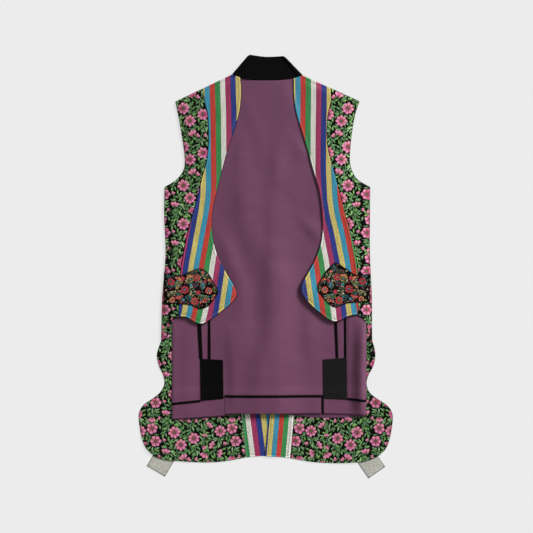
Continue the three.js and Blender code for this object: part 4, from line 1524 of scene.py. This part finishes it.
def repeat_tile():
    tile = Figures(REPEAT)
    wide, high = REPEAT
    for x, y, r, petals, turn in BLOOMS:
        if petals > 5:
            tile.flower(x, y, 1.03 * r, petals, turn, PINK, SALMON)
        else:
            tile.bud(x, y, r, petals - 2, 6 * turn + 0.1 * x, PINK, SALMON)
    for k in range(STEM["count"]):
        up = 1 if k % 2 else -1
        steps = STEM["leaves"]
        line = [(stem_at(k, high * i / steps)[0], high * i / steps) for i in range(steps + 1)]
        for a, b in zip(line, line[1:]):
            if not near_bloom(*a, 0.75):
                tile.stem([a, b], 1.1, GREENS[0][1])
        for i in range(steps):
            for side in (1, -1):
                y = high * (i + 0.25 * (side + 1)) / steps
                x, way = stem_at(k, y)
                way = way if up > 0 else way + pi
                turn = way + side * (STEM_LEAN + 0.2 * sin(2.3 * i + k))
                size = STEM["leaf"] * (1 + 0.16 * sin(1.7 * i + 2.9 * k + side))
                green = GREENS[(i * 2 + k + side) % 3]
                tile.leaf_in_room(x, y, turn, size, STEM["width"], green, 0.10 * side, 0.05)
    for i in range(FANS["across"]):
        for j in range(FANS["up"]):
            odd = 1.9 * i + 2.7 * j
            x = (i + 0.5 * (j % 2) + 0.22 * sin(odd)) * wide / FANS["across"]
            y = (j + 0.22 * cos(1.3 * odd)) * high / FANS["up"]
            heading = pi * (i % 3) * 0.62 + 0.9 * sin(odd)
            for k in range(FANS["blades"]):
                turn = heading + FANS["spread"] * (k - 1)
                size = FANS["leaf"] * (1 + 0.16 * sin(odd + 2 * k))
                green = GREENS[(i + j * 2 + k) % 3]
                tile.leaf_in_room(x, y, turn, size, FANS["width"], green, 0.08 * (k - 1))
    return tile.shapes


TILE = repeat_tile()


def repeats(values, start, size):
    """The numbers of the repeats that cover some values."""
    return range(floor((min(values) - start) / size) - 1, ceil((max(values) - start) / size) + 1)


def flowered(loop, mirror, shift, light=1.0):
    """The repeat laid over a piece."""
    made = Figures()
    sign = -1 if mirror else 1
    xs, ys = [sign * p[0] for p in loop], [p[1] for p in loop]
    wide, high = REPEAT
    for i in repeats(xs, shift[0], wide):
        for j in repeats(ys, shift[1], high):
            ox, oy = shift[0] + i * wide, shift[1] + j * high

            def placed(x, y, z, tint):
                return (sign * (x + ox), y + oy, z, tuple(light * v for v in tint))

            for rim, centre in TILE:
                made.add([placed(*spot) for spot in rim], centre and placed(*centre))
    return made.fit(loop)


for side in ("left", "right"):
    mirrored = side == "right"
    for part in ("back", "front"):
        host = f"{part}_floral_{side}"
        # light scales a piece's figure colours: painted light on the right front.
        light = RIGHT_FRONT_PAINTED_LIGHT if host == "front_floral_right" else 1.0
        made = flowered(CLOTH[host]["loop"], mirrored, REPEAT_START[part], light)
        made.build(f"{part}_flowers_{side}", host, "figures", 0.03)
    host = f"back_floral_{side}"
    under = flowered(CLOTH[host]["loop"], mirrored, REPEAT_START["under"])
    under.build(f"back_flowers_under_{side}", host, "figures", 0.02, shell_under)


# The pocket pieces' embroidery: a free folk design of blossoms, fans, rounds and feathered twigs.
FLOSS = {
    "red": [(0.060, 0.001, 0.003), (0.320, 0.005, 0.012), (0.600, 0.016, 0.032)],
    "wine": [(0.022, 0.001, 0.003), (0.120, 0.006, 0.018), (0.300, 0.028, 0.060)],
    "coral": [(0.120, 0.008, 0.006), (0.410, 0.055, 0.030), (0.690, 0.210, 0.120)],
    "teal": [(0.003, 0.020, 0.024), (0.012, 0.110, 0.130), (0.050, 0.300, 0.330)],
    "blue": [(0.003, 0.011, 0.034), (0.016, 0.070, 0.170), (0.090, 0.210, 0.350)],
    "leaf": [(0.003, 0.012, 0.005), (0.024, 0.072, 0.032), (0.110, 0.220, 0.100)],
    "olive": [(0.017, 0.020, 0.003), (0.130, 0.150, 0.023), (0.330, 0.360, 0.090)],
    "cream": [(0.070, 0.045, 0.018), (0.340, 0.260, 0.120), (0.660, 0.570, 0.350)],
    "gold": [(0.080, 0.025, 0.003), (0.370, 0.150, 0.020), (0.680, 0.390, 0.090)],
}
# Blossoms, as distance from the side seam, height, radius, petals, colour, second, heart.
BLOSSOMS = [
    (14, 15, 8.6, 8, "red", "wine", "leaf"),
    (44, -2, 9.4, 8, "red", "wine", "blue"),
    (66, -27, 8.6, 8, "red", "coral", "leaf"),
    (70, 24, 8.0, 7, "red", "wine", "gold"),
    (97, -4, 8.0, 8, "coral", "red", "teal"),
    (17, -24, 6.5, 6, "coral", "gold", "wine"),
]
# Rounds, as x, y, radius, outer and inner colour.
ROUNDS = [
    (3, -3, 4.2, "wine", "cream"),
    (27, 2, 3.6, "gold", "red"),
    (40, 22, 5.4, "red", "wine"),
    (41, -24, 4.4, "blue", "teal"),
    (58, 8, 4.4, "teal", "blue"),
    (74, -8, 5.6, "red", "wine"),
    (84, 36, 4.0, "coral", "wine"),
    (88, 15, 4.6, "wine", "coral"),
    (90, -25, 4.4, "red", "gold"),
    (109, 4, 3.6, "gold", "wine"),
    (57, -12, 3.0, "cream", "red"),
]
# Fans of petals, as x, y, angle, radius, petals, colour, second.
SPREADS = [
    (28, 18, 60, 9.5, 5, "coral", "gold"),
    (30, -14, -80, 9.0, 5, "red", "coral"),
    (56, 22, 110, 9.0, 5, "gold", "coral"),
    (80, 6, 20, 8.5, 5, "teal", "blue"),
    (80, -24, -70, 8.5, 5, "wine", "coral"),
    (104, -16, -30, 8.0, 5, "gold", "red"),
    (98, 14, 70, 8.0, 5, "red", "gold"),
]
# Feathered twigs, as x, y, angle, bend, length, pairs, leaf length, colour, second.
TWIGS = [
    (4, 4, 40, -50, 24, 4, 9.8, "leaf", "teal"),
    (6, -8, -30, 60, 22, 4, 9.1, "cream", "leaf"),
    (24, 6, 30, 40, 22, 4, 9.8, "cream", "olive"),
    (26, -6, -30, -60, 22, 4, 9.1, "leaf", "coral"),
    (50, 10, 70, -50, 22, 4, 9.8, "olive", "cream"),
    (52, 2, -20, -60, 24, 4, 9.8, "leaf", "cream"),
    (50, -12, -80, 60, 22, 4, 9.1, "teal", "leaf"),
    (74, 12, 70, 40, 20, 4, 9.8, "cream", "leaf"),
    (76, 2, 10, 60, 18, 3, 9.1, "leaf", "gold"),
    (72, -14, -40, 50, 22, 4, 9.1, "olive", "teal"),
    (92, 20, 90, 50, 16, 3, 9.1, "leaf", "cream"),
    (90, -14, -60, -40, 18, 3, 9.1, "cream", "leaf"),
    (104, 8, 60, 60, 14, 3, 8.5, "leaf", "wine"),
    (2, 26, 10, 20, 24, 4, 8.5, "teal", "leaf"),
    (2, -31, 4, -20, 26, 4, 8.5, "leaf", "olive"),
    (32, -30, 0, -30, 22, 4, 8.5, "wine", "leaf"),
    (52, 33, 0, 30, 22, 4, 8.5, "leaf", "wine"),
    (54, -37, 0, 0, 24, 4, 8.5, "leaf", "wine"),
    (62, 2, 60, -30, 16, 3, 8.5, "wine", "teal"),
    (34, 10, 90, 30, 12, 2, 8.5, "leaf", "wine"),
    (104, -4, 10, 40, 12, 2, 8.5, "olive", "leaf"),
    (70, 40, 20, 30, 20, 3, 8.5, "teal", "leaf"),
]
# Loose stitches that fill the ground between them, in columns and rows.
FILL = {"columns": range(25), "rows": range(-11, 15), "apart": 5.0, "leaf": 8.0, "width": 3.0}
FILL_COLOURS = ["leaf", "wine", "olive", "cream", "wine", "leaf"]
# Where a design's side seam and middle lie, and how much higher it stands than woven figures.
POCKET_ORIGIN = {"left": (-222, -50), "right": (227, -48)}
STANDS = 1.3


def pocket_design(side):
    origin, sign = POCKET_ORIGIN[side], SIGN[side]
    made = Figures(room=1.3)
    for x, y, angle, r, petals, colour, second in SPREADS:
        for k in range(petals):
            turn = radians(angle) + 0.5 * (k - (petals - 1) / 2)
            made.petal(x, y, turn, r, 0.42 * r, FLOSS[second if k % 2 else colour])
            made.take((x + 0.7 * r * cos(turn), y + 0.7 * r * sin(turn), 0.25 * r))
        made.disc(x, y, 0.28 * r, FLOSS["leaf"][0], FLOSS["teal"][2], 0.45)
    for x, y, r, petals, colour, second, heart in BLOSSOMS:
        made.flower(x, y, r, petals, x * 0.7, FLOSS[colour], FLOSS[second], heart=False)
        made.disc(x, y, r * 0.34, FLOSS[heart][0], FLOSS[heart][2], 0.5)
    for x, y, r, outer, inner in ROUNDS:
        made.take((x, y, r))
        made.disc(x, y, r, FLOSS[outer][0], FLOSS[outer][2], 0.42, 10)
        made.disc(x, y, 0.42 * r, FLOSS[inner][0], FLOSS[inner][2], 0.55)
    for x, y, angle, bend, length, pairs, leaf, colour, second in TWIGS:
        turns = radians(angle), radians(bend)
        made.spray(x, y, *turns, length, pairs, leaf, FLOSS[colour], FLOSS[second])
    for i in FILL["columns"]:
        for j in FILL["rows"]:
            odd = 1.7 * i + 2.3 * j
            x, y = FILL["apart"] * (i + 0.3 * sin(odd)), FILL["apart"] * (j + 0.3 * cos(odd))
            colour = FLOSS[FILL_COLOURS[(2 * i + 3 * j) % len(FILL_COLOURS)]]
            turn = 2.2 * sin(0.9 * odd)
            made.leaf_in_room(x, y, turn, FILL["leaf"], FILL["width"], colour, 0.1)

    def placed(x, y, z, tint):
        return (origin[0] + sign * x, origin[1] + y, z * STANDS, tint)

    made.shapes = [
        ([placed(*spot) for spot in rim], centre and placed(*centre)) for rim, centre in made.shapes
    ]
    return made.fit(CLOTH[f"pocket_{side}"]["loop"], 2.2)


for side in ("left", "right"):
    pocket_design(side).build(f"pocket_embroidery_{side}", f"pocket_{side}", "embroidery", 0.03)


# Sewing: corded edges and rows of stitches.


def tube(name, host, line, radius, look, above, sides=6):
    """A cord sewn along a line on a cloth."""
    verts, faces = [], []
    spots = [Vector(lay(host, x, y, above)) for x, y in line]
    for i, spot in enumerate(spots):
        before, after = spots[max(i - 1, 0)], spots[min(i + 1, len(spots) - 1)]
        way = (after - before).normalized()
        across = way.cross(Vector((0, 0, 1))).normalized()
        up = across.cross(way).normalized()
        for k in range(sides):
            angle = 2 * pi * k / sides
            verts.append(tuple(spot + (across * cos(angle) + up * sin(angle)) * radius / 1000))
    last = (len(spots) - 1) * sides
    for start in range(0, last, sides):
        for k in range(sides):
            a, b = start + k, start + (k + 1) % sides
            faces.append((a, b, b + sides, a + sides))
    faces += [tuple(range(sides))[::-1], tuple(last + k for k in range(sides))]
    trim(name, host, verts, faces, look)


def resample(line, step):
    """Points a step apart along a line."""
    out, left = [], 0.0
    for a, b in zip(line, line[1:]):
        length = dist(a, b)
        spot = left
        while spot < length:
            t = spot / length
            out.append((a[0] + (b[0] - a[0]) * t, a[1] + (b[1] - a[1]) * t))
            spot += step
        left = spot - length
    return out


# Places along and across a stitch: share of its length, of its width and of its lift.
STITCH_LENGTH = ((0, 0.3, -0.15), (0.25, 1, 0.8), (0.75, 1, 0.8), (1, 0.3, -0.15))
STITCH_WIDTH = ((1, 0.1), (0, 1), (-1, 0.1))


def stitches(name, host, line, look, pitch=3.6, length=2.4, width=0.55, lift=0.12):
    """A row of running stitches, each a small rounded thread that dips at both ends."""
    verts, faces = [], []
    spots = resample(line, pitch)
    for a, b in zip(spots, spots[1:]):
        if dist(a, b) > pitch * 1.6:
            continue
        way = Vector((b[0] - a[0], b[1] - a[1])).normalized()
        side = Vector((-way.y, way.x)) * (width / 2)
        start = len(verts)
        for far, share, up in STITCH_LENGTH:
            x, y = a[0] + way.x * length * far, a[1] + way.y * length * far
            for s, z in STITCH_WIDTH:
                above = lift * up * (0.4 + z)
                verts.append(lay(host, x + side.x * s * share, y + side.y * s * share, above))
        for i in range(3):
            for k in range(2):
                p = start + 3 * i + k
                faces.append((p, p + 1, p + 4, p + 3)[::-1])
    trim(name, host, verts, faces, look)


def inner_row(host, by, line, wanted):
    """The part of a cloth's inner row that lies near wanted points, in a line's order."""
    near = np.array(wanted)
    row = [
        p
        for p in inset(CLOTH[host]["loop"], by)
        if np.sqrt(((near - np.array(p)) ** 2).sum(1)).min() < by * 1.8
    ]
    return sorted(row, key=lambda p: min(range(len(line)), key=lambda i: dist(p, line[i])))


CORD = {"radius": 0.62, "above": -0.75}
for side in ("left", "right"):
    host = f"front_stripe_{side}"
    (first_x, first_y), *rest = FRONT_EDGE[side]
    edge = spline([(first_x, first_y - 2), *rest], 3.0)
    tube(f"edge_cord_{side}", host, edge, CORD["radius"], "black", CORD["above"])
    stitches(f"edge_stitches_{side}", host, inner_row(host, 5.0, edge, edge[:-3]), "pale")
    host = f"pocket_{side}"
    head = spline(POCKET[side], 2.5)
    row = inner_row(host, 1.6, head, head)
    stitches(f"pocket_stitches_{side}", host, row, "black", 3.0, 2.2, 0.5)


# Narrow tapes are stated at least this wide, in metres.
NARROWEST = 0.0101


for name, made in CLOTH.items():
    width, length = (max(side, NARROWEST) for side in made["flat"])
    min(made["area"], width * length)


# The stage: a pale floor, soft light from the upper right, and the camera straight above.
PHOTO = {"width": 1.1726, "centre": (0.00163, 0.00037), "lens": 85.0, "sensor": 36.0, "plane": 0.003}
FLOOR = {"half": 6.0, "below": 0.0002}
SUN = {"strength": 5.33, "width": 19, "turns": (66, 0, 134)}
SURROUND = 0.30


def stage_floor():
    mesh = bpy.data.meshes.new("floor")
    half = FLOOR["half"]
    corners = [(-half, -half, 0), (half, -half, 0), (half, half, 0), (-half, half, 0)]
    mesh.from_pydata(corners, [], [(0, 1, 2, 3)])
    mesh.materials.append(LOOK["floor"])
    return placed_object("floor", mesh, (0, 0, -FLOOR["below"]))


def placed_object(name, data, place=(0, 0, 0)):
    made = bpy.data.objects.new(name, data)
    made.location = place
    bpy.context.scene.collection.objects.link(made)
    return made


stage_floor()
sun = bpy.data.lights.new("key", "SUN")
sun.energy = SUN["strength"]
sun.angle = radians(SUN["width"])
placed_object("key", sun).rotation_euler = [radians(turn) for turn in SUN["turns"]]
world = bpy.data.worlds.new("world")
bpy.context.scene.world = world
world.use_nodes = True
background = world.node_tree.nodes["Background"]
background.inputs["Color"].default_value = (1.0, 1.0, 1.0, 1.0)
background.inputs["Strength"].default_value = SURROUND

camera = bpy.data.cameras.new("camera")
camera.lens = PHOTO["lens"]
camera.sensor_width = PHOTO["sensor"]
height = PHOTO["width"] * PHOTO["lens"] / PHOTO["sensor"] + PHOTO["plane"]
bpy.context.scene.camera = placed_object("camera", camera, (*PHOTO["centre"], height))
bpy.context.scene.view_settings.view_transform = "Standard"
